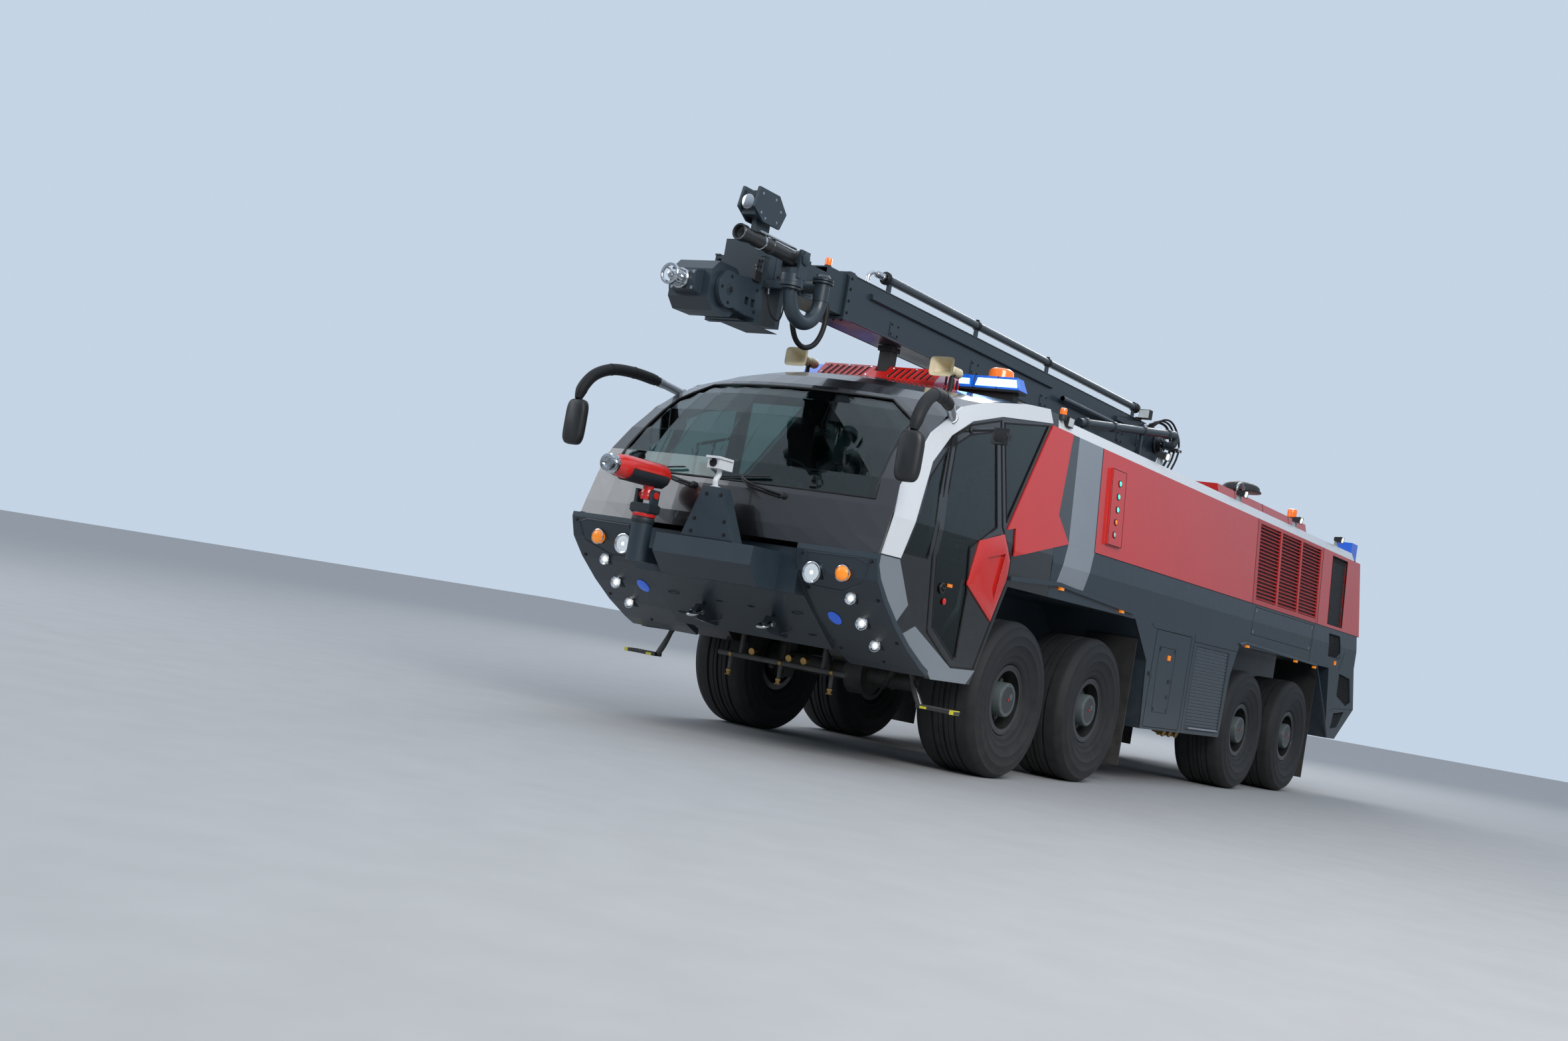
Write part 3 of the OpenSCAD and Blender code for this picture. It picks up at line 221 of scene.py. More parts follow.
class Work:
    """One piece being made, in millimetres at stations from axle 1: turned, bent and joined.
    It is made as for the left side, and with side at -1 it goes to the right one."""

    def __init__(self, side=1):
        self.bm = bmesh.new()
        self.slot = 0
        self.side = side

    def _add(self, points, faces):
        verts = [self.bm.verts.new(p) for p in points]
        made = [self.bm.faces.new([verts[i] for i in f]) for f in faces]
        for face in made:
            face.material_index = self.slot
        return verts, made

    def _ease(self, faces, edge, steps=2):
        """Rounds every sharp edge of a new solid."""
        if edge:
            edges = [e for e in {e for f in faces for e in f.edges}
                if len(e.link_faces) == 2 and e.calc_face_angle(0) > 0.35]
            bmesh.ops.bevel(self.bm, geom=edges, offset=edge, segments=steps, profile=0.5, affect="EDGES",
                clamp_overlap=True, material=-1)

    def solid(self, low, high, edge=0.0, steps=2):
        """A solid between two faces with as many corners, counter-clockwise as seen from the high side."""
        n = len(low)
        _, faces = self._add([*low, *high], [tuple(range(n))[::-1], tuple(range(n, 2 * n))] + [(i,
            (i + 1) % n, (i + 1) % n + n, i + n) for i in range(n)])
        self._ease(faces, edge, steps)

    def tapered(self, low, high, edge=0.0, steps=2):
        """A block whose foot and top are each given as (x0, x1, y0, y1, z)."""
        self.solid(*[[(x0, y0, z), (x1, y0, z), (x1, y1, z), (x0, y1, z)] for x0, x1, y0, y1,
            z in (low, high)], edge, steps)

    def block(self, x0, x1, y0, y1, z0, z1, edge=0.0, steps=2):
        self.tapered((x0, x1, y0, y1, z0), (x0, x1, y0, y1, z1), edge, steps)

    def plate(self, outline, axis, lo, hi, edge=0.0, steps=2):
        """A flat outline with a thickness along axis x or y."""
        if (area(outline) > 0) == (axis == "y"):
            outline = outline[::-1]
        self.solid(*[[(h, a, b) if axis == "x" else (a, h, b) for a, b in outline] for h in (lo, hi)], edge,
            steps)

    def turned(self, profile, foot, along, sides=24, closed=False):
        """A profile of (radius, distance) turned about the line from foot in the direction along."""
        along = Vector(along).normalized()
        side = along.orthogonal().normalized()
        up = along.cross(side)
        foot = Vector(foot)
        rings, points, faces = [], [], []
        for r, h in profile:
            if r < 0.01:
                rings.append([len(points)])
                points.append(foot + along * h)
            else:
                rings.append(list(range(len(points), len(points) + sides)))
                points += [foot + along * h + (side * math.cos(a) + up * math.sin(a)) * r
                    for a in around(sides)]
        for a, b in zip(rings, rings[1:] + rings[:1] if closed else rings[1:]):
            for i in range(sides):
                j = (i + 1) % sides
                if len(a) > 1 and len(b) > 1:
                    faces.append((a[i], a[j], b[j], b[i]))
                elif len(b) > 1:
                    faces.append((a[0], b[j], b[i]))
                elif len(a) > 1:
                    faces.append((a[i], a[j], b[0]))
        if not closed:
            faces += [ring for ring in (rings[0][::-1], rings[-1]) if len(ring) > 1]
        self._add(points, faces)

    def bar(self, a, b, r, sides=12):
        a, b = Vector(a), Vector(b)
        self.turned([(r, 0), (r, (b - a).length)], a, b - a, sides)

    def bent(self, points, r, sides=12, steps=4):
        """A round bar, pipe or hose bent smoothly through the points."""
        self.swept(curve(points, steps), r, sides)

    def swept(self, path, r, sides=12):
        """A round bar along a path, its radius one number or one for each point."""
        path = [Vector(p) for p in path]
        radii = r if isinstance(r, list) else [r] * len(path)
        way = (path[1] - path[0]).normalized()
        side = way.orthogonal().normalized()
        rings = []
        for k, p in enumerate(path):
            ahead = (path[min(k + 1, len(path) - 1)] - path[max(k - 1, 0)]).normalized()
            side = (way.rotation_difference(ahead) @ side).normalized()
            side = (side - ahead * side.dot(ahead)).normalized()
            up = ahead.cross(side)
            way = ahead
            rings.append([p + (side * math.cos(a) + up * math.sin(a)) * radii[k] for a in around(sides)])
        self.lofted(rings)

    def lofted(self, rings, ends=2):
        """A skin over rings of as many points, closed at its first end or at both."""
        n = len(rings[0])
        last = (len(rings) - 1) * n
        faces = [(k + i, k + (i + 1) % n, k + n + (i + 1) % n, k + n + i) for k in range(0, last, n)
            for i in range(n)]
        caps = [tuple(range(n))[::-1], tuple(range(last, last + n))]
        self._add([p for ring in rings for p in ring], faces + caps[:ends])

    def face_out(self, slot=None):
        """Turns the faces outward: all of them, or those of one finish."""
        faces = [f for f in self.bm.faces if slot is None or f.material_index == slot]
        bmesh.ops.recalc_face_normals(self.bm, faces=faces)

    def mirrored(self, geometry):
        """Mirrors vertices and faces across the truck's middle."""
        for item in geometry:
            if isinstance(item, bmesh.types.BMVert):
                item.co.x = -item.co.x
        bmesh.ops.reverse_faces(self.bm, faces=[g for g in geometry if isinstance(g, bmesh.types.BMFace)])

    def to_both_sides(self):
        """Adds the mirror image across the truck's middle."""
        everything = self.bm.verts[:] + self.bm.edges[:] + self.bm.faces[:]
        self.mirrored(bmesh.ops.duplicate(self.bm, geom=everything)["geom"])

    def mesh(self, name):
        """The piece as a mesh at its place in the frame."""
        if self.side < 0:
            self.mirrored(self.bm.verts[:] + self.bm.faces[:])
        for v in self.bm.verts:
            v.co = at(*v.co)
        made = bpy.data.meshes.new(name)
        self.bm.to_mesh(made)
        self.bm.free()
        return made

    def done(self, name, body, *materials, smooth=35, stands_for=()):
        """Makes the piece, and fixes it to its body."""
        mesh = self.mesh(name)
        for p in mesh.polygons:
            p.use_smooth = True
        mesh.set_sharp_from_angle(angle=math.radians(smooth))
        for m in materials:
            mesh.materials.append(m)
        made = in_scene(name, mesh)
        if stands_for:
            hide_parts(*stands_for)
        if body:
            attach(made, body)
        return made


SIDE = 1470
LEAN = 0.13
LEAN_FOOT = 1950


def side_at(z, out=0.0):
    """How far out the leaning side is at height z."""
    return SIDE - LEAN * max(0.0, z - LEAN_FOOT) + out


# Tyres: eight wide single tyres of black rubber with smooth shoulders and three rings of tread grooves.
# Each is pressed onto its rim, and its side carries raised rings.
AXLES = (0, 1750, 6110, 7880)
SIDES = (("l", 1), ("r", -1))
WHEEL_X, HUB_Z = 1190, 685


def rubber(name, color, rough=0.62, dust=0.16, bump=0.35):
    m = finish(name, color, rough, dust=dust, grain=500.0, bump=bump, edge=0, mottle=0.12)
    m.node_tree.nodes["Principled BSDF"].inputs["Specular IOR Level"].default_value = 0.28
    return m


tyre_rubber = rubber("tyre rubber", (0.014, 0.015, 0.017), dust=0.09)
tyre_half = [(269, -214), (306, -214), (318, -240), (340, -247), (346, -251), (352, -249), (392, -263),
    (398, -268), (404, -266), (455, -286), (480, -294), (486, -299), (492, -296), (540, -299), (560, -300),
    (566, -302), (572, -299), (604, -290), (636, -279), (642, -281), (648, -275), (664, -252), (675, -236),
    (681, -222), (684.6, -205), (684.8, -119), (668.5, -115), (668, -97), (684.8, -92), (684.8, -52),
    (677, -50), (677, -45), (684.8, -43), (684.8, -12), (668.5, -9)]
tyre_line = tyre_half + [(r, -h) for r, h in reversed(tyre_half)]
for axle, station in enumerate(AXLES, 1):
    for letter, sign in SIDES:
        tyre = Work()
        tyre.turned(tyre_line, (WHEEL_X * sign, station, HUB_Z), LEFT, 112, closed=True)
        tyre.done(f"tyre_{axle}{letter}_rubber", f"wheel_{axle}{letter}", tyre_rubber, smooth=50,
            stands_for=(f"tyre_{axle}{letter}",))

# Wheel rims: black enamelled steel discs with a flat hub cap over the planetary gear, and ten nuts.
# The nuts clamp the disc to the hub; a valve with its cap stands in one hand hole.
rim_enamel = finish("black rim enamel", (0.010, 0.011, 0.012), 0.32, dust=0.10, coat=0.3, edge=0.003)
hub_grey = finish("grey-green hub enamel", (0.075, 0.095, 0.095), 0.42, dust=0.12, edge=0.002, bump=0.05)
nut_steel = finish("zinc plated nuts", (0.36, 0.36, 0.34), 0.38, metal=0.9, dust=0.3, edge=0)
signal_red = (0.62, 0.018, 0.013)
red_dot = finish("red mark", signal_red, 0.4, dust=0.1, edge=0)
coat_node(rim_enamel, *[f"wheel_{a}{s}" for a in (1, 2, 3, 4) for s in "lr"])


def copies(n, link, points, piece, skin, give):
    """Sets copies of a piece on points in their finish; it hands back the node that places them."""
    placed = n.new("GeometryNodeInstanceOnPoints")
    link(points, placed.inputs["Points"])
    link(piece, placed.inputs["Instance"])
    real = n.new("GeometryNodeRealizeInstances")
    link(placed.outputs["Instances"], real.inputs[0])
    coat = n.new("GeometryNodeSetMaterial")
    link(real.outputs[0], coat.inputs["Geometry"])
    link(skin, coat.inputs["Material"])
    link(coat.outputs[0], give.inputs[0])
    return placed


def bolt_tree():
    """Bolt heads or nuts on a cloud of points, each turned to its point's way."""
    takes = (("Points", "Geometry", None), ("Radius", "Float", 0.012), ("Height", "Float", 0.008),
        ("Sides", "Int", 6), ("Metal", "Material", None))
    t, n, link, take, give = node_group("bolt heads", "GeometryNodeTree", takes, (("Heads", "Geometry"),))
    head = n.new("GeometryNodeMeshCylinder")
    washer = n.new("GeometryNodeMeshCylinder")
    washer.inputs["Vertices"].default_value = 16
    for node, r, h in ((head, 1.0, 2.0), (washer, 1.45, 0.5)):
        for socket, factor, source in (("Radius", r, "Radius"), ("Depth", h, "Height")):
            scale = n.new("ShaderNodeMath")
            scale.operation = "MULTIPLY"
            scale.inputs[1].default_value = factor
            link(take.outputs[source], scale.inputs[0])
            link(scale.outputs[0], node.inputs[socket])
    link(take.outputs["Sides"], head.inputs["Vertices"])
    both = n.new("GeometryNodeJoinGeometry")
    link(head.outputs["Mesh"], both.inputs[0])
    link(washer.outputs["Mesh"], both.inputs[0])
    way = n.new("GeometryNodeInputNamedAttribute")
    way.data_type = "FLOAT_VECTOR"
    way.inputs["Name"].default_value = "way"
    turn = n.new("FunctionNodeAlignRotationToVector")
    turn.axis = "Z"
    link(way.outputs["Attribute"], turn.inputs["Vector"])
    placed = copies(n, link, take.outputs["Points"], both.outputs[0], take.outputs["Metal"], give)
    link(turn.outputs["Rotation"], placed.inputs["Rotation"])
    return t


bolt_heads = bolt_tree()


def grow(name, body, start, tree, **values):
    """Grows a Geometry Nodes tree on a start mesh, and keeps the result as a plain mesh on its body."""
    carrier = in_scene(name + "_carrier", start)
    live = carrier.modifiers.new("grow", "NODES")
    live.node_group = tree
    for item in tree.interface.items_tree:
        if item.in_out == "INPUT" and item.name in values:
            live[item.identifier] = values[item.name]
    grown = bpy.data.meshes.new_from_object(carrier.evaluated_get(bpy.context.evaluated_depsgraph_get()))
    bpy.data.objects.remove(carrier)
    grown.set_sharp_from_angle(angle=math.radians(30))
    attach(in_scene(name, grown), body)


def bolts(name, body, metal, places, radius, height, sides=6):
    """Bolt heads at places given as (place, way) in millimetres at stations."""
    cloud = bpy.data.meshes.new(name + "_places")
    cloud.from_pydata([at(*p) for p, _ in places], [], [])
    way = cloud.attributes.new("way", "FLOAT_VECTOR", "POINT")
    for item, (_, w) in zip(way.data, places):
        item.vector = Vector(w).normalized()
    grow(name, body, cloud, bolt_heads, Radius=radius / 1000, Height=height / 1000, Sides=sides,
        Metal=metal)


for axle, station in enumerate(AXLES, 1):
    for letter, sign in SIDES:
        # Hub cap with its ring and mark, the rim's inner steps and the valve, all turned about the axle
        x, way = WHEEL_X * sign, (sign, 0, 0)
        middle = (x, station, HUB_Z)
        hub = Work()
        hub.turned([(150.5, 90), (151, 236), (146, 247), (139, 251.5), (118, 251.5), (114, 248.5),
            (0, 248.5)], middle, way, 48)
        hub.turned([(30, 249), (30, 253), (24, 254), (0, 254)], (x, station + 52, HUB_Z + 30), way, 20)
        hub.slot = 2
        hub.turned([(264, 60), (264, 74), (258, 80), (252, 74), (252, 60)], middle, way, 64, closed=True)
        hub.turned([(304.5, 229), (304.5, 233), (298, 235), (290, 233), (286, 222), (266, 214), (266, 222),
            (282, 231)], middle, way, 72, closed=True)
        hub.slot = 1
        hub.turned([(11, 252), (10, 257), (0, 257)], (x, station + 2, HUB_Z + 4), way, 16)
        hub.slot = 2
        hub.turned([(16, 249), (16, 251), (0, 251)], (x, station + 52, HUB_Z + 30), way, 16)
        hub.slot = 3
        hub.bar((x + sign * 70, station - 235, 700), (x + sign * 170, station - 243, 702), 5, 10)
        hub.bar((x + sign * 168, station - 243, 702), (x + sign * 192, station - 245, 703), 8, 10)
        hub.done(f"hub_cap_{axle}{letter}", f"wheel_{axle}{letter}", hub_grey, red_dot, rim_enamel,
            nut_steel, smooth=32)
        for piece, count, start, radius, out, metal, size in (("wheel_nuts", 10, 18, 197, 100, nut_steel,
                (17, 14)), ("hub_bolts", 12, 0, 133, 250, hub_grey, (7, 4))):
            turns = [math.radians(360 / count * k + start) for k in range(count)]
            places = [((x + sign * out, station + radius * math.cos(a), HUB_Z + radius * math.sin(a)), way)
                for a in turns]
            bolts(f"{piece}_{axle}{letter}", f"wheel_{axle}{letter}", metal, places, *size)

# Under the chassis: air bellows, shock struts, brake chambers and the spray bar's brass nozzles.
# Rubber bellows are clamped between axle and rail; pressed steel brake pots are bolted behind each hub.
bellows_rubber = rubber("bellows rubber", (0.018, 0.018, 0.019), 0.55, dust=0.4)
cast_dark = finish("cast iron", (0.035, 0.036, 0.037), 0.6, dust=0.5, bump=0.5, metal=0.4)
brass = finish("brass", (0.45, 0.27, 0.08), 0.34, metal=1.0, dust=0.3, edge=0)
under = Work()
for station in AXLES:
    folds = [(50, 0), (78, 8), (84, 26), (70, 40), (84, 54), (84, 74), (70, 88), (82, 102), (76, 118),
        (50, 122)]
    under.slot = 0
    under.turned(folds, (390, station, 766), UP, 28)
    under.slot = 1
    under.turned([(62, 0), (72, 10), (72, 62), (60, 76), (22, 80), (22, 130)], (640, station + 95, 650),
        (0, 1, 0.25), 20)
    under.bar((300, station - 150, 620), (395, station - 130, 900), 24, 12)
    under.bar((335, station - 142, 700), (395, station - 130, 900), 34, 14)
    under.bar((250, station + 60, 600), (300, station + 620, 820), 22, 10)
under.to_both_sides()
under.slot = 2
for x in (-520, 0, 520):
    under.turned([(17, 0), (24, 4), (24, 22), (18, 26), (18, 40), (30, 44), (30, 50), (0, 52)],
        (x, -1420, 548), (0, 0, -1), 16)
    under.turned([(27, -14), (30, -10), (30, 10), (27, 14)], (x, -1420, 680), LEFT, 16)
for x in (-230, 150, 300):
    under.turned([(20, 0), (20, 46), (30, 50), (30, 70), (18, 74)], (x, -1480, 745), (0, -1, -0.2), 14)
under.done("underbody_gear", "chassis", bellows_rubber, cast_dark, brass, smooth=40)

# Cab shell: bonded black panels of fibre-reinforced plastic under a high-gloss clear coat.
# One skin wraps the front, sides and roof, cut for the windscreen, doors and side panes.
gloss_black = finish("gloss black clear coat", (0.006, 0.0065, 0.008), 0.22, dust=0.12, coat=0.8,
    mottle=0.03, bump=0.01)
seal_rubber = rubber("black window seals", (0.010, 0.010, 0.011), 0.6, dust=0.15)
coat_node(gloss_black, "cab_shell", "door_l", "door_r")

# Roof rail and corner pillars: white painted trim bonded over the shell's edge, from the bumper to the tail.
# It is pressed from sheet in long pieces, which meet the red pillars edge to edge.
white_paint = finish("gloss white paint", (0.74, 0.76, 0.78), 0.28, dust=0.06, coat=0.5, mottle=0.015,
    bump=0.01)
coat_node(white_paint, "white_trim")

# Silver sill, corner and diagonal band: metallic silver-grey paint on thin panels.
# The panels lie over the black shell and are bonded all round.
silver_paint = finish("silver metallic paint", (0.36, 0.39, 0.42), 0.3, dust=0.12, metal=0.55, coat=0.5,
    mottle=0.04)
coat_node(silver_paint, "silver_trim")


def skin_plate(work, outline, low, high):
    """A plate on the leaning side, its outline (station, height), from low to high beyond the side's face."""
    if area(outline) < 0:
        outline = outline[::-1]
    work.solid(*[[(side_at(z, out), y, z) for y, z in outline] for out in (low, high)])


def seam(work, line, low, high, width):
    """A strip along a line of (station, height) on the leaning side: a seal, a joint or an edge band."""
    for (y0, z0), (y1, z1) in zip(line, line[1:]):
        length = math.hypot(y1 - y0, z1 - z0)
        a, b = (y1 - y0) / length, (z1 - z0) / length
        h, e = width / 2, width * 0.35
        skin_plate(work, [(y0 - a * e - b * h, z0 - b * e + a * h), (y1 + a * e - b * h,
            z1 + b * e + a * h), (y1 + a * e + b * h, z1 + b * e - a * h),
            (y0 - a * e + b * h, z0 - b * e - a * h)], low, high)


# Cab seats, dash and wheel: three sprung seats in dark cloth on pedestals, and a moulded dash.
# The cushions are foam under stitched cloth, bolted to steel pans.


def texture(new, link, kind, scale):
    """A texture laid out in the piece's own coordinates."""
    pattern = new("ShaderNodeTex" + kind)
    pattern.inputs["Scale"].default_value = scale
    link(new("ShaderNodeTexCoord").outputs["Object"], pattern.inputs["Vector"])
    return pattern


def patterned(name, kind, scale, output, tones, values):
    """A material whose colour runs between two tones with a texture; texture and ramp come with it."""
    m, skin, new, link = blank(name)
    pattern = texture(new, link, kind, scale)
    ramp = new("ShaderNodeValToRGB")
    for element, tone in zip(ramp.color_ramp.elements, tones):
        element.color = (*tone, 1)
    link(pattern.outputs[output], ramp.inputs["Fac"])
    link(ramp.outputs["Color"], skin.inputs["Base Color"])
    set_values(skin, values)
    return m, pattern, ramp


seat_cloth, weave = patterned("seat cloth", "Voronoi", 220.0, "Distance",
    ((0.030, 0.034, 0.040), (0.070, 0.078, 0.088)), {"Roughness": 0.9, "Sheen Weight": 0.3})[:2]
cloth = seat_cloth.node_tree
bumps(cloth.nodes.new, cloth.links.new, cloth.nodes["Principled BSDF"], weave.outputs["Distance"], 0.5)
cab_plastic = finish("moulded cab plastic", (0.022, 0.024, 0.027), 0.6, dust=0.1, bump=0.2, grain=900.0)
screen_glow = finish("dark display glass", (0.004, 0.006, 0.008), 0.08, dust=0.0, bump=0.0, edge=0)
cab_fit = Work()
for x, y in ((-820, -420), (0, -1300), (820, -420)):
    cab_fit.block(x - 130, x + 130, y + 100, y + 380, 1690, 1852, 12)
    cab_fit.block(x - 225, x + 225, y + 20, y + 470, 1850, 1880, 8)
    cab_fit.block(x - 150, x + 150, y + 500, y + 530, 1900, 2560, 10)
    for s in (-1, 1):
        cab_fit.block(x + s * 262 - 22, x + s * 262 + 22, y + 120, y + 420, 2080, 2120, 12)
cab_fit.plate([(-2330, 1690), (-2330, 1960), (-2240, 2052), (-2120, 2078), (-1990, 2090), (-1940, 2070),
    (-1905, 2030), (-1960, 1960), (-2070, 1900), (-2080, 1690)], "x", -1150, 1150, 14)
cab_fit.plate([(-2130, 2070), (-2150, 2150), (-1990, 2170), (-1940, 2086)], "x", -330, 330, 16)
cab_fit.bent([(0, -2020, 1990), (0, -1850, 2085), (0, -1715, 2172)], 34, 16)
wheel_at, wheel_way = (0, -1700, 2180), (0, 0.857, 0.515)
cab_fit.turned([(0, 12), (46, 10), (58, -4), (52, -16), (0, -18)], wheel_at, wheel_way, 24)
wheel_rim = [(222, 0), (219, 9), (211, 13), (202, 9), (199, 0), (202, -9), (211, -13), (219, -9)]
cab_fit.turned(wheel_rim, wheel_at, wheel_way, 48, closed=True)
for a in (90, 210, 330):
    c, s = math.cos(math.radians(a)), math.sin(math.radians(a))
    cab_fit.bar(wheel_at, (205 * c, -1700 - 205 * s * 0.515, 2180 + 205 * s * 0.857), 11, 10)
cab_fit.slot = 1
cab_fit.block(-280, -60, -1985, -1975, 2080, 2150)
for x in (330, 620, -620):
    cab_fit.plate([(-2000, 2075), (-2035, 2230), (-2055, 2226), (-2022, 2072)], "x", x - 110, x + 110, 4)
cab_fit.done("cab_fittings", "chassis", cab_plastic, screen_glow, stands_for=("cab_interior",))


def cushion(name, x0, x1, y0, y1, z0, z1):
    """A crowned pad whose sides draw in between its corners, with two sewn channels."""
    bm = bmesh.new()
    bmesh.ops.create_cube(bm, size=2.0)
    bmesh.ops.subdivide_edges(bm, edges=bm.edges[:], cuts=9, use_grid_fill=True)
    for v in bm.verts:
        a, b, c = v.co
        ring = (abs(a) ** 6 + abs(b) ** 6 + abs(c) ** 6) ** (1 / 6)
        p = v.co / ring
        crown = 1 - 0.07 * (1 - p.z * p.z)
        dent = 0.04 * sum(math.exp(-((p.x - s) / 0.06) ** 2) for s in (-0.45, 0.45))
        deep, high = (crown, 1 - dent * 2) if y1 - y0 > z1 - z0 else (1 - dent * 2, crown)
        p = Vector((p.x * crown, p.y * deep, p.z * high))
        v.co = at((x0 + x1) / 2 + p.x * (x1 - x0) / 2, (y0 + y1) / 2 + p.y * (y1 - y0) / 2,
            (z0 + z1) / 2 + p.z * (z1 - z0) / 2)
    mesh = bpy.data.meshes.new(name)
    bm.to_mesh(mesh)
    bm.free()
    mesh.materials.append(seat_cloth)
    for p in mesh.polygons:
        p.use_smooth = True
    pad = in_scene(name, mesh)
    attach(pad, "chassis")


for label, x, y in (("right", -820, -420), ("driver", 0, -1300), ("left", 820, -420)):
    cushion(f"seat_{label}_cushion", x - 235, x + 235, y + 10, y + 440, 1880, 1990)
    cushion(f"seat_{label}_back", x - 225, x + 225, y + 405, y + 505, 1985, 2470)
    cushion(f"seat_{label}_headrest", x - 120, x + 120, y + 415, y + 500, 2480, 2590)

# Windscreen and side panes: bonded laminated glass with a green-blue tint.
# The panes are curved to the shell and glued into its openings from outside.
tinted_glass = patterned("tinted glass", "Noise", 1.3, "Fac", ((0.27, 0.43, 0.41), (0.33, 0.50, 0.48)),
    {"Transmission Weight": 1.0, "Roughness": 0.0, "IOR": 1.45})[0]
coat_node(tinted_glass, "cab_glass", "door_glass_l", "door_glass_r")

# Windscreen surround and wipers: black bonded seal round the screen, and two long pantograph wipers.
# The wipers are black painted steel arms with rubber blades, on spindles in the cowl below the screen.


def cab_front(x, z):
    """Station of the cab's front face at a place across and a height."""
    rows = ((1640, -2660, -2590, 1470), (1760, -2650, -2550, 1470), (2010, -2605, -2465, 1462),
        (2230, -2520, -2380, 1434), (2450, -2400, -2200, 1405), (2660, -2270, -1975, 1378),
        (2840, -2130, -1730, 1354), (2970, -1990, -1480, 1337), (3070, -1800, -1150, 1324),
        (3150, -1550, -780, 1314), (3220, -1200, -330, 1305), (3270, -760, 60, 1298))
    for a, b in zip(rows, rows[1:]):
        if z <= b[0]:
            t = max(0.0, (z - a[0]) / (b[0] - a[0]))
            mid, side, half = (a[k] + (b[k] - a[k]) * t for k in (1, 2, 3))
            return mid + (side - mid) * (x / half) ** 2
    return -760


wiper_black = finish("black wiper enamel", (0.010, 0.010, 0.011), 0.45, dust=0.1, edge=0)
screen = Work()
edge_line = [(-1290, 2060), (-1240, 2380), (-1180, 2760), (-1060, 2835), (-900, 2930), (-450, 2930),
    (0, 2930), (450, 2930), (900, 2930), (1060, 2835), (1180, 2760), (1240, 2380), (1290, 2060),
    (650, 2060), (0, 2060), (-650, 2060)]
screen_ring = []
for (x0, z0), (x1, z1) in zip(edge_line, edge_line[1:] + edge_line[:1]):
    for k in range(3):
        x, z = x0 + (x1 - x0) * k / 3, z0 + (z1 - z0) * k / 3
        screen_ring.append((x, cab_front(x, z) - 1, z))
screen.swept(screen_ring + screen_ring[:1], 9, 8)
for pivot, tip in ((540, -60), (-330, -900)):
    foot = Vector((pivot, cab_front(pivot, 1985) - 4, 1985))
    screen.turned([(26, -20), (26, 14), (20, 26), (0, 30)], foot, (0, -1, 0.2), 18)
    elbow_at = Vector((pivot + (tip - pivot) * 0.5, cab_front((pivot + tip) / 2, 2045) - 42, 2045))
    end_at = Vector((tip + 180, cab_front(tip + 180, 2100) - 30, 2100))
    screen.bent([foot + Vector((0, -22, 4)), elbow_at, end_at], 9, 8, 5)
    screen.bent([foot + Vector((-36, -14, -14)), elbow_at + Vector((-20, 0, -14)),
        end_at + Vector((-8, 0, -8))], 6, 8, 5)
    blade = [Vector((tip - 60 + 480 * k / 8, 0, 2076 + 6 * k)) for k in range(9)]
    blade = [Vector((p.x, cab_front(p.x, p.z) - 12, p.z)) for p in blade]
    screen.swept([p + Vector((0, -14, 0)) for p in blade], 7, 6)
    screen.swept(blade, 5, 6)
screen.done("screen_seal_and_wipers", "chassis", wiper_black, smooth=45)

# Doors: bonded glass in a black frame, with a black seal all round and a round handle.
# Behind the pane stands the dark frame of its sliding window.
door_line = [(-1670, 1142), (-1779, 1733), (-1690, 2300), (-1600, 2700), (-1290, 2858), (-758, 2996),
    (-640, 2122), (-446, 1878), (-446, 1704), (-798, 906), (-1198, 892), (-1670, 1142)]
pane_line = [(-1600, 1190), (-1710, 1733), (-1620, 2290), (-1530, 2660), (-1290, 2780), (-830, 2890),
    (-740, 2100), (-1190, 1871), (-1120, 1500), (-1130, 980), (-1180, 960), (-1600, 1190)]
amber_mark = finish("orange marker lens", (0.95, 0.24, 0.01), 0.25, dust=0.05, coat=0.6, edge=0,
    glow=((1.0, 0.25, 0.01), 0.15))
red_mark = finish("red marker lens", (0.62, 0.012, 0.010), 0.25, dust=0.05, coat=0.6, edge=0)
chrome = finish("chrome plate", (0.62, 0.64, 0.66), 0.09, dust=0.03, metal=1.0, mottle=0.01, bump=0.0,
    edge=0)
for letter, sign in SIDES:
    trim = Work(sign)
    seam(trim, door_line, -3, 5, 16)
    seam(trim, pane_line, -6, 3, 14)
    # Sliding window's frame behind the pane
    seam(trim, [(-1280, 2470), (-830, 2610), (-810, 2070), (-1200, 1871), (-1280, 2470)], -34, -20, 26)
    seam(trim, [(-1050, 2540), (-1010, 1968)], -34, -20, 20)
    trim.slot = 1
    trim.turned([(44, -6), (46, 4), (40, 10), (28, 8), (26, 2), (0, 2)], (SIDE, -1540, 1500), LEFT, 28)
    trim.bar((1480, -1566, 1500), (1480, -1514, 1500), 9, 10)
    trim.slot = 2
    trim.block(SIDE, 1482, -1470, -1400, 1520, 1546, 4)
    trim.slot = 3
    trim.turned([(26, 0), (26, 7), (20, 11), (0, 12)], (SIDE, -1480, 1400), LEFT, 20)
    trim.done(f"door_trim_{letter}", f"door_{letter}", seal_rubber, wiper_black, amber_mark, red_mark,
        smooth=40)
    fixed = Work(sign)
    seam(fixed, [(-2210, 1700), (-1930, 2330), (-1660, 2600), (-1750, 2290), (-1839, 1730), (-1860, 1700),
        (-2210, 1700)], -4, 4, 12)
    seam(fixed, [(-690, 2990), (180, 3130), (-570, 2170), (-690, 2990)], -4, 4, 12)
    fixed.done(f"side_pane_seals_{letter}", "chassis", seal_rubber, smooth=40)

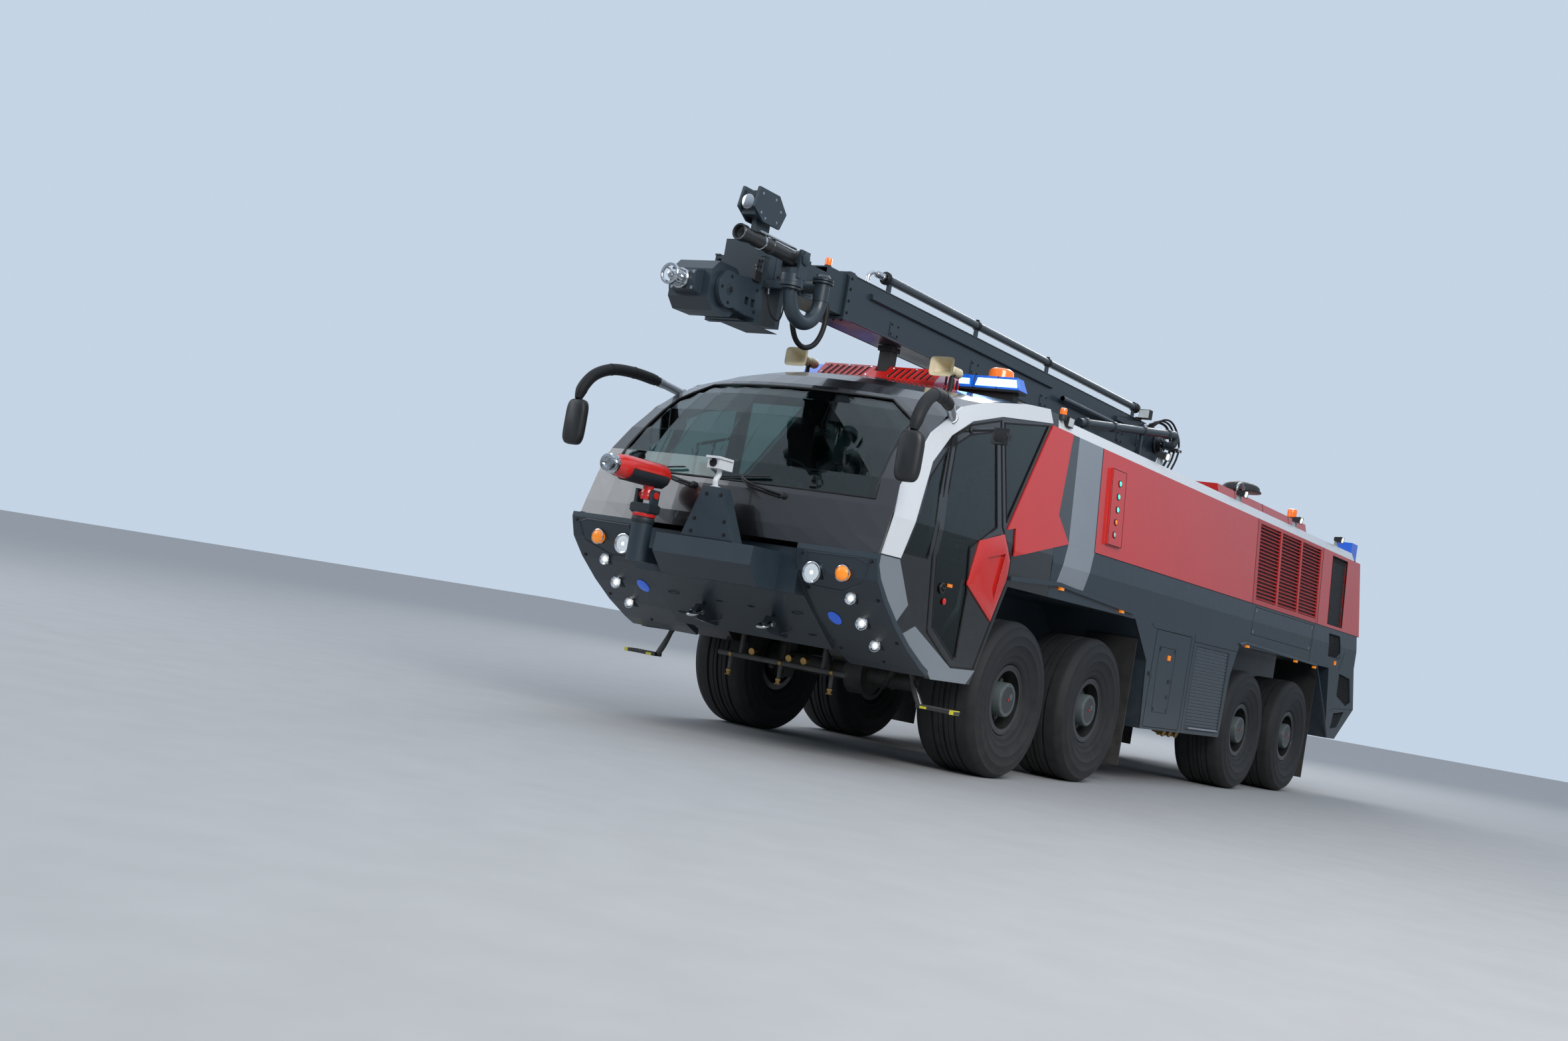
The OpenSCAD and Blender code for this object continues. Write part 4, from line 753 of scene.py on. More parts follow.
# Door caps: moulded red panels over the lower rear corner of each door, with a sunk three-cornered air scoop.
# Each is one moulding in gloss paint, clipped to the door from behind.
red_paint = finish("gloss signal red", signal_red, 0.24, dust=0.03, coat=0.6, mottle=0.03, bump=0.004)
for letter, sign in SIDES:
    cap = Work(sign)
    outer = [(-1060, 1950), (-640, 2060), (-470, 1860), (-470, 1706), (-650, 1320), (-1157, 1574)]
    inner = [(-1010, 1900), (-655, 1990), (-520, 1840), (-520, 1715), (-680, 1390), (-1085, 1590)]
    scoop = [(-900, 1835), (-600, 1900), (-690, 1500)]
    n = len(outer)
    pts = [(SIDE, *p) for p in outer] + [(1482, *p) for p in outer] + [(1498, *p) for p in inner]
    faces = [tuple(range(n))] + [(k + i, k + i + n, k + (i + 1) % n + n, k + (i + 1) % n) for k in (0, n)
        for i in range(n)]
    s0 = len(pts)
    pts += [(1498, *p) for p in scoop] + [(1478, y + 18, z - 6) for y, z in scoop]
    faces += [(s0, s0 + 1, s0 + 4, s0 + 3), (s0 + 1, s0 + 2, s0 + 5, s0 + 4), (s0 + 2, s0, s0 + 3, s0 + 5),
        (s0 + 3, s0 + 4, s0 + 5)]
    faces += [(2 * n + 0, 2 * n + 1, s0 + 1, s0), (2 * n + 1, 2 * n + 2, s0 + 1),
        (2 * n + 2, 2 * n + 3, s0 + 1), (2 * n + 3, 2 * n + 4, s0 + 2, s0 + 1),
        (2 * n + 4, 2 * n + 5, s0 + 2), (2 * n + 5, 2 * n + 0, s0, s0 + 2)]
    cap._add(pts, faces)
    cap.face_out()
    cap.done(f"door_cap_shell_{letter}", f"door_{letter}", red_paint, smooth=20,
        stands_for=(f"door_cap_{letter}",))
door_arm_paint = finish("grey arm enamel", (0.07, 0.075, 0.08), 0.45, dust=0.15)
coat_node(door_arm_paint, "door_arm_l", "door_arm_r")

# Bumper shield: a folded steel shield in dark blue-grey enamel, bolted to carriers on the chassis rails.
# Wings at each side hold the lamps; the middle folds back under the centre box and its tower.
slate = finish("dark blue-grey enamel", (0.020, 0.034, 0.046), 0.36, dust=0.14, coat=0.2, mottle=0.05,
    bump=0.03)
slate_dark = finish("deep slate enamel", (0.012, 0.018, 0.024), 0.5, dust=0.2, mottle=0.05, bump=0.05)
coat_node(slate, "bumper", "monitor_arm")
black_bolt = finish("blackened bolts", (0.02, 0.022, 0.024), 0.42, metal=0.6, dust=0.2, edge=0)


def shield_front(z):
    """Station of the shield's front face at height z."""
    line = ((785, -1600), (836, -1726), (963, -1980), (1115, -2218), (1286, -2438), (1440, -2590),
        (1556, -2635), (1600, -2650))
    for (z0, y0), (z1, y1) in zip(line, line[1:]):
        if z <= z1:
            return y0 + (y1 - y0) * (z - z0) / (z1 - z0)
    return -2650


fold = Work()
for s in (-1, 1):
    # Raised field with eased corners round the lamps of each wing
    field = [(860, 1340), (1150, 1330), (1380, 1420), (1420, 1560), (1330, 1590), (880, 1585)]
    ring = []
    for (x0, z0), (x1, z1) in zip(field, field[1:] + field[:1]):
        for k in range(4):
            x, z = x0 + (x1 - x0) * k / 4, z0 + (z1 - z0) * k / 4
            ring.append((s * x, shield_front(z) - 1, z))
    fold.swept(ring + ring[:1], 5, 6)
    # Pressed oval dimples and the oval collar round each towing eye
    for x, z, a, b in ((620, 1130, 70, 34), (660, 980, 60, 28), (350, 990, 120, 62), (160, 1120, 60, 26)):
        y = -2440 + (1290 - z) * 1.42 - 14
        oval = [(s * x + a * math.cos(t), y + b * 0.7 * math.sin(t), z + b * math.sin(t))
            for t in around(24)]
        fold.swept(oval + oval[:1], 6, 6)
# Joint lines of the middle panel and the centre box
for x in (-781, 781):
    fold.swept([(x, shield_front(z) - 2, z) for z in (1560, 1440, 1286, 1115, 963, 860)], 4, 6)
fold.block(-330, 590, -2968, -2958, 1462, 1470, 3)
fold.plate([(-128, 1560), (368, 1560), (176, 1946), (8, 1946)], "y", -2926, -2918, 5)
# Cheeks that close the wedge between the middle plate and the sloping wings
for x0, x1 in ((-780, -768), (768, 780)):
    fold.plate([(-2588, 1256), (-2420, 1256), (-2420, 1436), (-2588, 1436)], "x", x0, x1)
fold.done("shield_folds", "chassis", slate, smooth=45)

shield_bolts = []
for s in (-1, 1):
    for x, z in ((830, 1570), (1450, 1575), (830, 1320), (1450, 1300), (1440, 1010), (830, 900),
            (1180, 850)):
        shield_bolts.append(((s * x, shield_front(z) - 3, z), (0, -1, 0.1 if z > 1400 else -0.55)))
    for x, z in ((40, 1900), (60, 1700), (100, 1600)):
        shield_bolts.append(((120 + s * (120 + x * 0.4) * (1 if z < 1800 else 0.5), -2927, z), (0, -1, 0)))
bolts("shield_bolts", "chassis", black_bolt, shield_bolts, 11, 7)

# Lamps in the wings: chrome reflectors behind clear lenses, with an orange indicator and small driving lamps.
# Each lamp is a sealed unit, pressed into a round hole of the shield and held by its bezel.
clear_lens, lens_skin, new, link = blank("clear lens")
film = texture(new, link, "Noise", 60.0)
film_rough = new("ShaderNodeMapRange")
set_values(film_rough, {"To Min": 0.0, "To Max": 0.06})
link(film.outputs["Fac"], film_rough.inputs["Value"])
link(film_rough.outputs["Result"], lens_skin.inputs["Roughness"])
set_values(lens_skin, {"Transmission Weight": 1.0, "Base Color": (0.97, 0.98, 0.98, 1), "IOR": 1.12})
lit_lens = finish("lit lamp", (0.95, 0.93, 0.85), 0.2, dust=0.0, edge=0, glow=((1.0, 0.93, 0.78), 1.6))
# The reflector's faint glow is painted light: a painted reflection standing in for the bright chrome that
# light cannot reach inside the closed lens.
reflector = finish("lamp reflector with painted glow", (0.86, 0.88, 0.90), 0.22, metal=0.85, dust=0.0, edge=0, mottle=0.03,
    bump=0.02, glow=((0.80, 0.86, 0.92), 0.22))
amber_lens = finish("orange indicator lens", (0.95, 0.26, 0.01), 0.18, dust=0.02, coat=0.8, edge=0,
    glow=((1.0, 0.28, 0.01), 0.35))
blue_lens = finish("blue strobe lens", (0.008, 0.09, 0.60), 0.15, dust=0.02, coat=0.9, edge=0,
    glow=((0.02, 0.16, 0.9), 0.25))


def round_lamp(work, x, z, y, r, bulb, lit):
    """A dished chrome reflector with its bulb, a bezel and a domed lens, looking forward."""
    for slot, sides, profile in ((0, 36, [(r - 1, 20), (r - 1, 2), (r + 7, -3), (r + 9, -10), (r + 2, -13),
            (r - 8, -8), (r - 10, 2)]), (5, 32, [(r - 9, 0), (r * 0.75, 10), (r * 0.4, 18), (r * 0.2, 20),
            (0, 20)]), (bulb, 20, [(0, -4), (lit * 0.6, -3), (lit, 2), (lit, 14), (0, 18)]),
            (1, 32, [(r - 9, -3), (r * 0.7, -9), (r * 0.35, -13), (0, -14), (0, -11), (r * 0.35, -10),
            (r * 0.7, -6), (r - 9, 0)])):
        work.slot = slot
        work.turned(profile, (x, y, z), BACK, sides)


front_lamps = Work()
for s in (-1, 1):
    for x, z, r, y, kind in ((932, 1430, 75, -2622, 2), (1221, 1286, 42, -2468, 2),
            (1228, 1115, 46, -2260, 2), (1238, 963, 42, -2024, 2)):
        round_lamp(front_lamps, s * x, z, y, r, kind, r * (0.24 if r > 60 else 0.56))
    front_lamps.slot = 3
    front_lamps.turned([(56, 30), (56, -4), (50, -14), (30, -22), (0, -25)], (s * 1206, -2628, 1458), BACK,
        32)
    front_lamps.slot = 0
    front_lamps.turned([(55, 6), (62, 2), (64, -5), (58, -8), (55, -4)], (s * 1206, -2628, 1458), BACK, 32,
        closed=True)
    # Blue strobe behind an oval hole low on the wing
    front_lamps.slot = 4
    oval = [(s * 960 + 58 * math.cos(t), 1120 + 44 * math.sin(t)) for t in around(24)]
    y0 = shield_front(1120)
    front_lamps._add([(x, y0 - 6 + (1120 - z) * 1.3, z) for x, z in oval] + [(s * 960, y0 - 22, 1120)],
        [(i, (i + 1) % 24, 24) if s > 0 else ((i + 1) % 24, i, 24) for i in range(24)])
front_lamps.face_out()
front_lamps.done("front_lamps", "chassis", chrome, clear_lens, lit_lens, amber_lens, blue_lens, reflector,
    smooth=40, stands_for=("lamps",))

# Camera on the tower: a small white weatherproof housing on a swan neck.
# The housing is cast and enamelled, and its neck is screwed to the tower's top.
camera_white = finish("white housing enamel", (0.70, 0.72, 0.74), 0.35, dust=0.08, edge=0.002)
eye = Work()
eye.block(24, 136, -2945, -2760, 2102, 2188, 14, 3)
eye.block(14, 146, -2965, -2775, 2178, 2196, 6)
eye.bent([(80, -2865, 1960), (80, -2880, 2010), (80, -2850, 2060), (80, -2850, 2104)], 22, 14)
eye.turned([(40, 0), (44, 8), (30, 14)], (80, -2865, 1958), UP, 20)
eye.slot = 1
eye.turned([(34, -2), (34, 8), (26, 10), (24, 2), (0, 0)], (80, -2945, 2145), (0, -1, 0), 24)
eye.done("tower_camera", "chassis", camera_white, screen_glow, smooth=40)

# Towing shackles: drop-forged and plated, with a screw pin through each towing eye.
# They hang in the shield's oval holes.
shackles = Work()
shackles.bent([(312, -2230, 990), (308, -2275, 975), (318, -2320, 960), (350, -2338, 955),
    (382, -2320, 960), (392, -2275, 975), (388, -2230, 990)], 15, 12, 5)
shackles.turned([(0, -4), (22, 0), (22, 14), (0, 16)], (296, -2230, 990), LEFT, 16)
shackles.bar((300, -2230, 990), (410, -2230, 990), 15, 14)
shackles.turned([(26, 0), (26, 16), (0, 18)], (398, -2230, 990), LEFT, 6)
shackles.to_both_sides()
shackles.done("towing_shackles", "chassis", chrome, smooth=40)

# Boarding steps: black treads with yellow tips on bent arms below the doors.
# The treads are ribbed steel, welded to arms of tube that are bolted behind the shield.
yellow_tip = finish("yellow tread edge", (0.75, 0.68, 0.03), 0.4, dust=0.1, edge=0)
step_black = finish("black tread enamel", (0.012, 0.013, 0.014), 0.5, dust=0.4)
steps = Work()
steps.block(1340, 1652, -1424, -1316, 552, 559, 2)
for k in range(9):
    steps.block(1352 + k * 33, 1366 + k * 33, -1420, -1320, 558, 564)
steps.bent([(1345, -1370, 548), (1290, -1372, 640), (1232, -1372, 790)], 22, 12)
steps.slot = 1
steps.block(1650, 1688, -1422, -1318, 528, 562, 4)
steps.block(1380, 1440, -1423, -1419, 532, 554, 1)
steps.to_both_sides()
steps.done("boarding_steps", "chassis", step_black, yellow_tip)

# Front monitor: red water cannon with a dark belly, its bent feed pipe, turning ring and chrome nozzle.
# Barrel and belly are painted castings; the nozzle is screwed on with a ring of bolts.
gun_at, gun_foot, column_top = (-530, -2920, 2000), (-530, -2920, 1830), (-530, -2920, 1600)
gun = Work()
gun.turned([(88, 150), (96, 130), (97, 20), (97, -300), (88, -420), (66, -452), (62, -470)], gun_at, BACK,
    36)
gun.bent([(-530, -2920, 1832), (-530, -2920, 1900), (-530, -2930, 1960)], 44, 18)
gun.turned([(52, -40), (56, -20), (52, 0), (58, 12), (52, 40)], gun_foot, UP, 24)
gun.slot = 1
gun.turned([(60, -455), (64, -462), (64, -480), (80, -484), (80, -500), (62, -504), (58, -540), (66, -546),
    (66, -558), (44, -560), (40, -530), (0, -528)], gun_at, BACK, 30)
gun.slot = 2
gun.plate([(-100, -40), (-92, -62), (-40, -100), (40, -100), (92, -62), (100, -40), (96, 0), (-96, 0)], "y",
    -330, 120, 8)
for v in gun.bm.verts:
    if v.co.x > -300:
        v.co += Vector(gun_at)
gun.slot = 0
gun.turned([(30, -96), (30, 96)], gun_foot, LEFT, 18)
gun.done("monitor_gun", "monitor_barrel", red_paint, chrome, slate_dark, stands_for=("monitor_barrel",))
ring = Work()
ring.turned([(89, 6), (92, 12), (92, 40), (89, 46)], column_top, UP, 36)
ring.block(-628, -432, -2990, -2850, 1692, 1752, 10)
ring.bent([(-610, -2870, 1740), (-640, -2850, 1790), (-610, -2860, 1840)], 9, 8)
ring.slot = 1
ring.turned([(90, 52), (94, 56), (94, 76), (90, 80)], column_top, UP, 36)
ring.done("monitor_turning_gear", "monitor_arm", slate_dark, red_paint)
bolts("monitor_flange_bolts", "monitor_barrel", chrome, [((-530 + 72 * math.cos(a), -3406,
    2000 + 72 * math.sin(a)), (0, -1, 0)) for a in around(8)], 6, 6)

# Body band and lockers: dark blue-grey enamel on folded aluminium panels under the coloured ones.
# Doors and seams are narrow joints with black rubber between the panels.
coat_node(slate, "tank_body", "lockers", "lower_body", "locker_door_l", "locker_door_r")
coat_node(red_paint, "red_panels")
louvre_red = finish("grille red", (0.50, 0.016, 0.012), 0.33, dust=0.2, coat=0.4, mottle=0.04)
coat_node(louvre_red, "louvre")
# Near black: the rubber of the panel joints, and painted shade on the backs of openings and in the vent
# slots.
joint_and_painted_shade_black = rubber("panel joints and painted shade", (0.006, 0.007, 0.008), 0.8, dust=0.2)
galvanised = finish("dark wire mesh", (0.02, 0.021, 0.022), 0.5, metal=0.4, dust=0.3, edge=0)
brushed = finish("brushed aluminium", (0.42, 0.44, 0.46), 0.32, metal=0.9, dust=0.2, edge=0.001)
dark_glass = finish("dark strip glass", (0.010, 0.016, 0.018), 0.05, dust=0.0, coat=1.0, edge=0, bump=0.0,
    mottle=0.0)
green_lens = finish("green level lamp", (0.05, 0.75, 0.42), 0.2, dust=0.0, edge=0,
    glow=((0.08, 1.0, 0.55), 1.4))
clear_face = finish("clear level lamp", (0.62, 0.66, 0.66), 0.15, dust=0.0, edge=0, coat=0.8)


WIRE_RADIUS = 2.2


def wire_field(work, outline, x_of, pitch):
    """Crossed wires filling an outline of (station, height); x_of gives how far out they lie at a height."""
    for axis in (0, 1):
        lo, hi = min(p[axis] for p in outline), max(p[axis] for p in outline)
        c = lo + pitch
        while c < hi - 1:
            cuts = []
            for a, b in zip(outline, outline[1:] + outline[:1]):
                if (a[axis] - c) * (b[axis] - c) < 0:
                    t = (c - a[axis]) / (b[axis] - a[axis])
                    cuts.append(a[1 - axis] + (b[1 - axis] - a[1 - axis]) * t)
            cuts.sort()
            for p, q in zip(cuts[::2], cuts[1::2]):
                ends = [(c, v) if axis == 0 else (v, c) for v in (p, q)]
                if axis == 0 and ends[0][1] < 1950 < ends[1][1]:
                    ends.insert(1, (c, 1950))
                work.swept([(x_of(z) + (axis * 3), y, z) for y, z in ends], WIRE_RADIUS, 5)
            c += pitch


rear_slot = [(8874, 2206), (9070, 3094), (9732, 3094), (9504, 2206)]
upper_vent = [(9646, 1304), (9616, 1594), (10124, 1554), (10312, 1254), (10118, 1196)]
lower_vent = [(9566, 866), (9626, 1064), (10090, 1104), (9846, 896)]
for letter, sign in SIDES:
    # Joints, gaskets and raised edges of the side
    side = Work(sign)
    for line, low, high, width in (([(1290, 2150), (1410, 3148)], -8, 1.5, 8),
            ([(5850, 2152), (6000, 3148)], -8, 1.5, 9), ([(8402, 2152), (8642, 3148)], -8, 1.5, 9),
            ([(5850, 2150), (10340, 2150)], -8, 1.5, 7), ([(1290, 2150), (5850, 2150)], -8, 1.5, 7),
            ([(5976, 2120), (5890, 1950), (5880, 1800), (8150, 1790), (8190, 1950), (8250, 2120),
            (5976, 2120)], -2, 1.2, 6), ([(8300, 2145), (8230, 1950), (8200, 1660)], -2, 1.2, 7),
            ([(2444, 1640), (2884, 1263), (2990, 620)], -4, 1.0, 7), ([(4142, 1636), (4142, 584)], -2, 1.0,
            7), ([(4142, 1560), (5500, 1560)], -2, 1.0, 7), ([(2884, 1640), (2990, 1600), (4060, 1600),
            (4060, 600)], -2, 1.0, 5), ([(8860, 2200), (9060, 3100), (9740, 3100), (9510, 2200),
            (8860, 2200)], -12, 3, 12), ([(9000, 1790), (8960, 1950), (8960, 2080), (9440, 2080),
            (9480, 1950), (9520, 1790), (9000, 1790)], -6, 2, 9), ([(9560, 1640), (9720, 1890)], -3, 1.2,
            7), ([(9420, 1100), (9620, 1130), (10200, 1150), (10500, 1160)], -3, 1.2, 6)):
        seam(side, line, low, high, width)
    side.slot = 1
    wire_field(side, rear_slot, lambda z: side_at(z, -22), 27)
    wire_field(side, [(9006, 1796), (8966, 2074), (9436, 2074), (9512, 1796)], lambda z: side_at(z, -22),
        27)
    wire_field(side, upper_vent, lambda z: 1446, 30)
    wire_field(side, lower_vent, lambda z: 1446, 30)
    # Backs of the openings: near-black sheets deep behind the mesh, painted shade inside the recesses
    side.slot = 0
    side.plate(rear_slot, "x", 1290, 1300)
    side.plate([(9010, 1796), (8970, 2070), (9436, 2070), (9510, 1796)], "x", 1371, 1376)
    side.plate(upper_vent, "x", 1311, 1316)
    side.plate(lower_vent, "x", 1311, 1316)
    side.done(f"side_joints_{letter}", "chassis", joint_and_painted_shade_black, galvanised)

    # Lower silver band, painted over the dark band down to the lip, and the dark glass strip before it.
    # The glass is bonded flush between the red pillar and the silver panel.
    band = Work(sign)
    band.slot = 0
    front, rear = ((520, 1773), (604, 1950), (700, 2150)), ((1112, 1773), (1195, 1950), (1290, 2150))
    for k in range(2):
        skin_plate(band, [front[k], rear[k], rear[k + 1], front[k + 1]], 0.2, 1.6)
    band.slot = 1
    skin_plate(band, [(700, 3144), (846, 3144), (697, 2160), (452, 2385)], -7, 3)
    band.done(f"silver_band_{letter}", "chassis", silver_paint, dark_glass, smooth=30)

    # Level lamps: five small ones, green above orange and clear, on the strip behind the silver panel.
    # Each is a moulded lens in a black bezel, pressed through the red cover.
    level = Work(sign)
    for k, (y, z) in enumerate(((1760, 2872), (1733, 2743), (1719, 2616), (1691, 2493), (1664, 2370))):
        foot = (side_at(z, 28), y, z)
        level.slot = 3
        level.turned([(30, 0), (33, 3), (33, 8), (26, 11), (24, 4)], foot, (1, 0, 0.13), 24)
        level.slot = 0 if k < 3 else k - 2
        level.turned([(24.5, 2), (24, 10), (16, 15), (0, 17)], foot, (1, 0, 0.13), 24)
    level.slot = 4
    seam(level, [(1520, 2268), (1597, 2997), (1924, 2997), (1846, 2268), (1520, 2268)], 29.6, 31.5, 5)
    level.done(f"level_lamps_{letter}", "chassis", green_lens, amber_lens, clear_face, wiper_black,
        joint_and_painted_shade_black)

# Roller shutters: anodised slats running in side guides, with a bar handle at the foot.
# One slat is rolled from sheet, and a row of them is hooked edge to edge.


def row_tree():
    """Copies of a piece set at equal steps in a row."""
    takes = (("Piece", "Geometry", None), ("Count", "Int", 10), ("Step", "Vector", (0, 0, 0.04)),
        ("Finish", "Material", None))
    t, n, link, take, give = node_group("row of pieces", "GeometryNodeTree", takes, (("Row", "Geometry"),))
    line = n.new("GeometryNodeMeshLine")
    line.mode = "OFFSET"
    link(take.outputs["Count"], line.inputs["Count"])
    link(take.outputs["Step"], line.inputs["Offset"])
    copies(n, link, line.outputs[0], take.outputs["Piece"], take.outputs["Finish"], give)
    return t


piece_row = row_tree()
for letter, sign in SIDES:
    slat = Work(sign)
    slat.plate([(1457, 622), (1463, 624), (1466, 634), (1466, 648), (1462, 655), (1457, 656)], "y", 4234,
        5276)
    grow(f"shutter_slats_{letter}", "chassis", slat.mesh(f"shutter_slats_{letter}_one"), piece_row,
        Count=25, Step=(0, 0, 0.0358), Finish=slate)
    guide = Work(sign)
    guide.block(1457, 1469.5, 4230, 4248, 621, 1519, 2)
    guide.block(1457, 1469.5, 5262, 5280, 621, 1519, 2)
    guide.slot = 1
    guide.bar((1486, 4300, 640), (1486, 5200, 640), 11, 14)
    for y in (4330, 4750, 5170):
        guide.bar((1462, y, 640), (1486, y, 640), 8, 10)
    # Corner latches of the access panel
    for y, z in ((5930, 1830), (8120, 1820)):
        guide.block(SIDE, 1475, y - 13, y + 13, z - 20, z + 20, 2)
    for y in (6010, 8180):
        guide.block(side_at(2085, 0), side_at(2085, 6), y - 13, y + 13, 2065, 2105, 2)
    guide.slot = 0
    guide.block(SIDE, 1482, 3000, 3052, 1120, 1160, 4)
    guide.slot = 2
    guide.block(SIDE, 1484, 9304, 9356, 1694, 1746, 5)
    # Brass couplings below the locker
    guide.slot = 3
    for y in (4330, 4520, 4710):
        guide.turned([(34, -60), (34, 0), (46, 4), (46, 30), (36, 34), (36, 50), (44, 54), (44, 74),
            (0, 76)], (1150, y, 560), (1, 0, -0.25), 20)
    guide.done(f"locker_fittings_{letter}", "chassis", slate_dark, brushed, amber_lens, brass)
    # On the hinged door: the joint of its hatch, corner latches, a handle, a lock and a marker lamp
    hatch = Work(sign)
    hatch.slot = 2
    seam(hatch, [(3200, 1180), (3200, 1430), (3660, 1430), (3660, 760), (3240, 760), (3200, 1180)], -1, 1.2,
        5)
    hatch.slot = 0
    hatch.block(SIDE, 1478, 3560, 3630, 1070, 1110, 3)
    hatch.turned([(24, 0), (24, 4), (16, 8), (0, 8)], (SIDE, 3595, 930), LEFT, 18)
    for y, z in ((3230, 1405), (3640, 1405), (3640, 790), (3270, 790)):
        hatch.block(SIDE, 1475, y - 13, y + 13, z - 20, z + 20, 2)
    hatch.slot = 1
    hatch.block(SIDE, 1484, 3454, 3506, 1304, 1356, 5)
    hatch.done(f"locker_hatch_{letter}", f"locker_door_{letter}", slate_dark, amber_lens, joint_and_painted_shade_black)

# Fender lips and mud flaps: pressed lips round the wheel openings with small orange lamps under them.
# The flaps are ribbed rubber sheet on a steel bar.
flap_rubber = rubber("mud flap rubber", (0.014, 0.014, 0.015), 0.7, dust=0.25)
for letter, sign in SIDES:
    lip = Work(sign)
    lip.bent([(1490, -425, 1710), (1492, 60, 1742), (1492, 546, 1768), (1492, 1440, 1728),
        (1490, 2330, 1690)], 7, 8)
    line = [(5560, 1640), (5737, 1674), (7000, 1652), (8504, 1624), (8960, 1200), (9409, 740)]
    for (y0, z0), (y1, z1) in zip(line, line[1:]):
        d = Vector((0, y1 - y0, z1 - z0)).normalized()
        up = Vector((0, -d.z, d.y)) * 26
        a, b = Vector((SIDE, y0, z0)), Vector((SIDE, y1, z1))
        out = Vector((26, 0, -4))
        lip.solid([a, b, b + out, a + out], [a + up, b + up, b + out + up * 0.6, a + out + up * 0.6], 2)
    lip.slot = 1
    for y, z in ((620, 1742), (2050, 1680), (5800, 1652), (7650, 1622), (8440, 1605)):
        lip.block(1462, 1496, y - 34, y + 34, z - 18, z + 10, 5)
    lip.slot = 2
    for y0, z1, x0 in ((2638, 1459, 898), (8698, 1636, 898)):
        lip.block(x0, 1442, y0, y0 + 19, 188.5, z1, 2)
        for k in range(12):
            x = x0 + 30 + k * 42
            lip.block(x, x + 12, y0 + 18, y0 + 23, 230, min(z1, 1200), 1)
    lip.face_out()
    lip.done(f"fender_lips_{letter}", "chassis", slate, amber_lens, flap_rubber)

# Rear face: tail lamps, handrails and the joints of the rear doors.
# The lamps are red and orange lenses in black bezels, screwed to the corner pieces.
red_lens = finish("red tail lens", (0.60, 0.010, 0.010), 0.15, dust=0.05, coat=0.8, edge=0,
    glow=((0.9, 0.02, 0.01), 0.2))
tail = Work()
for x, z, r, k in ((1330, 1570, 62, 2), (1330, 1434, 50, 1), (1330, 1308, 50, 2)):
    for slot, profile in ((0, [(r + 10, 0), (r + 10, 12), (r, 16), (r - 2, 8)]),
            (k, [(r - 2, 2), (r - 2, 12), (r * 0.6, 20), (0, 23)])):
        tail.slot = slot
        tail.turned(profile, (x, 10300 + (1703 - z) * 0.45, z), (0, 1, 0.42), 28)
tail.slot = 0
for y, z in ((10261, 1750), (10261, 2140), (10360, 3120)):
    tail.block(0, 1200, y, y + 3, z - 4, z + 4)
for x in (420, 1180):
    tail.block(x - 4, x + 4, 10360, 10363, 2160, 3120)
    tail.block(x - 4, x + 4, 10260, 10263, 1750, 2140)
tail.slot = 3
tail.bent([(1060, 10362, 2260), (1060, 10400, 2290), (1060, 10400, 2960), (1060, 10362, 2990)], 14, 12)
tail.bent([(140, 10262, 2050), (180, 10300, 2050), (520, 10300, 2050), (560, 10262, 2050)], 12, 12)
tail.slot = 0
for k in range(6):
    tail.block(120, 360, 10360, 10372, 2330 + k * 110, 2342 + k * 110)
tail.to_both_sides()
tail.done("tail_fittings", "chassis", joint_and_painted_shade_black, amber_lens, red_lens, brushed)

# Mirrors: padded black arms curved out from silver brackets, each with a rounded mirror head hanging from it.
# The arm is a tube in foam-backed moulding; the glass faces back to the driver.
arm_black = rubber("padded mirror arm", (0.016, 0.017, 0.018), 0.55, dust=0.1, bump=0.15)
mirror_shell = finish("moulded mirror shell", (0.013, 0.014, 0.015), 0.42, dust=0.1, edge=0, bump=0.1,
    grain=900.0)
mirror_glass = finish("mirror glass", (0.75, 0.78, 0.80), 0.03, metal=1.0, dust=0.0, edge=0, mottle=0.0,
    bump=0.0)


def soft_ring(count, across, up, start=0.0):
    """Points round a unit square whose corners are soft."""
    return [(math.copysign(abs(math.cos(t)) ** across, math.cos(t)),
        math.copysign(abs(math.sin(t)) ** up, math.sin(t))) for t in around(count, start)]


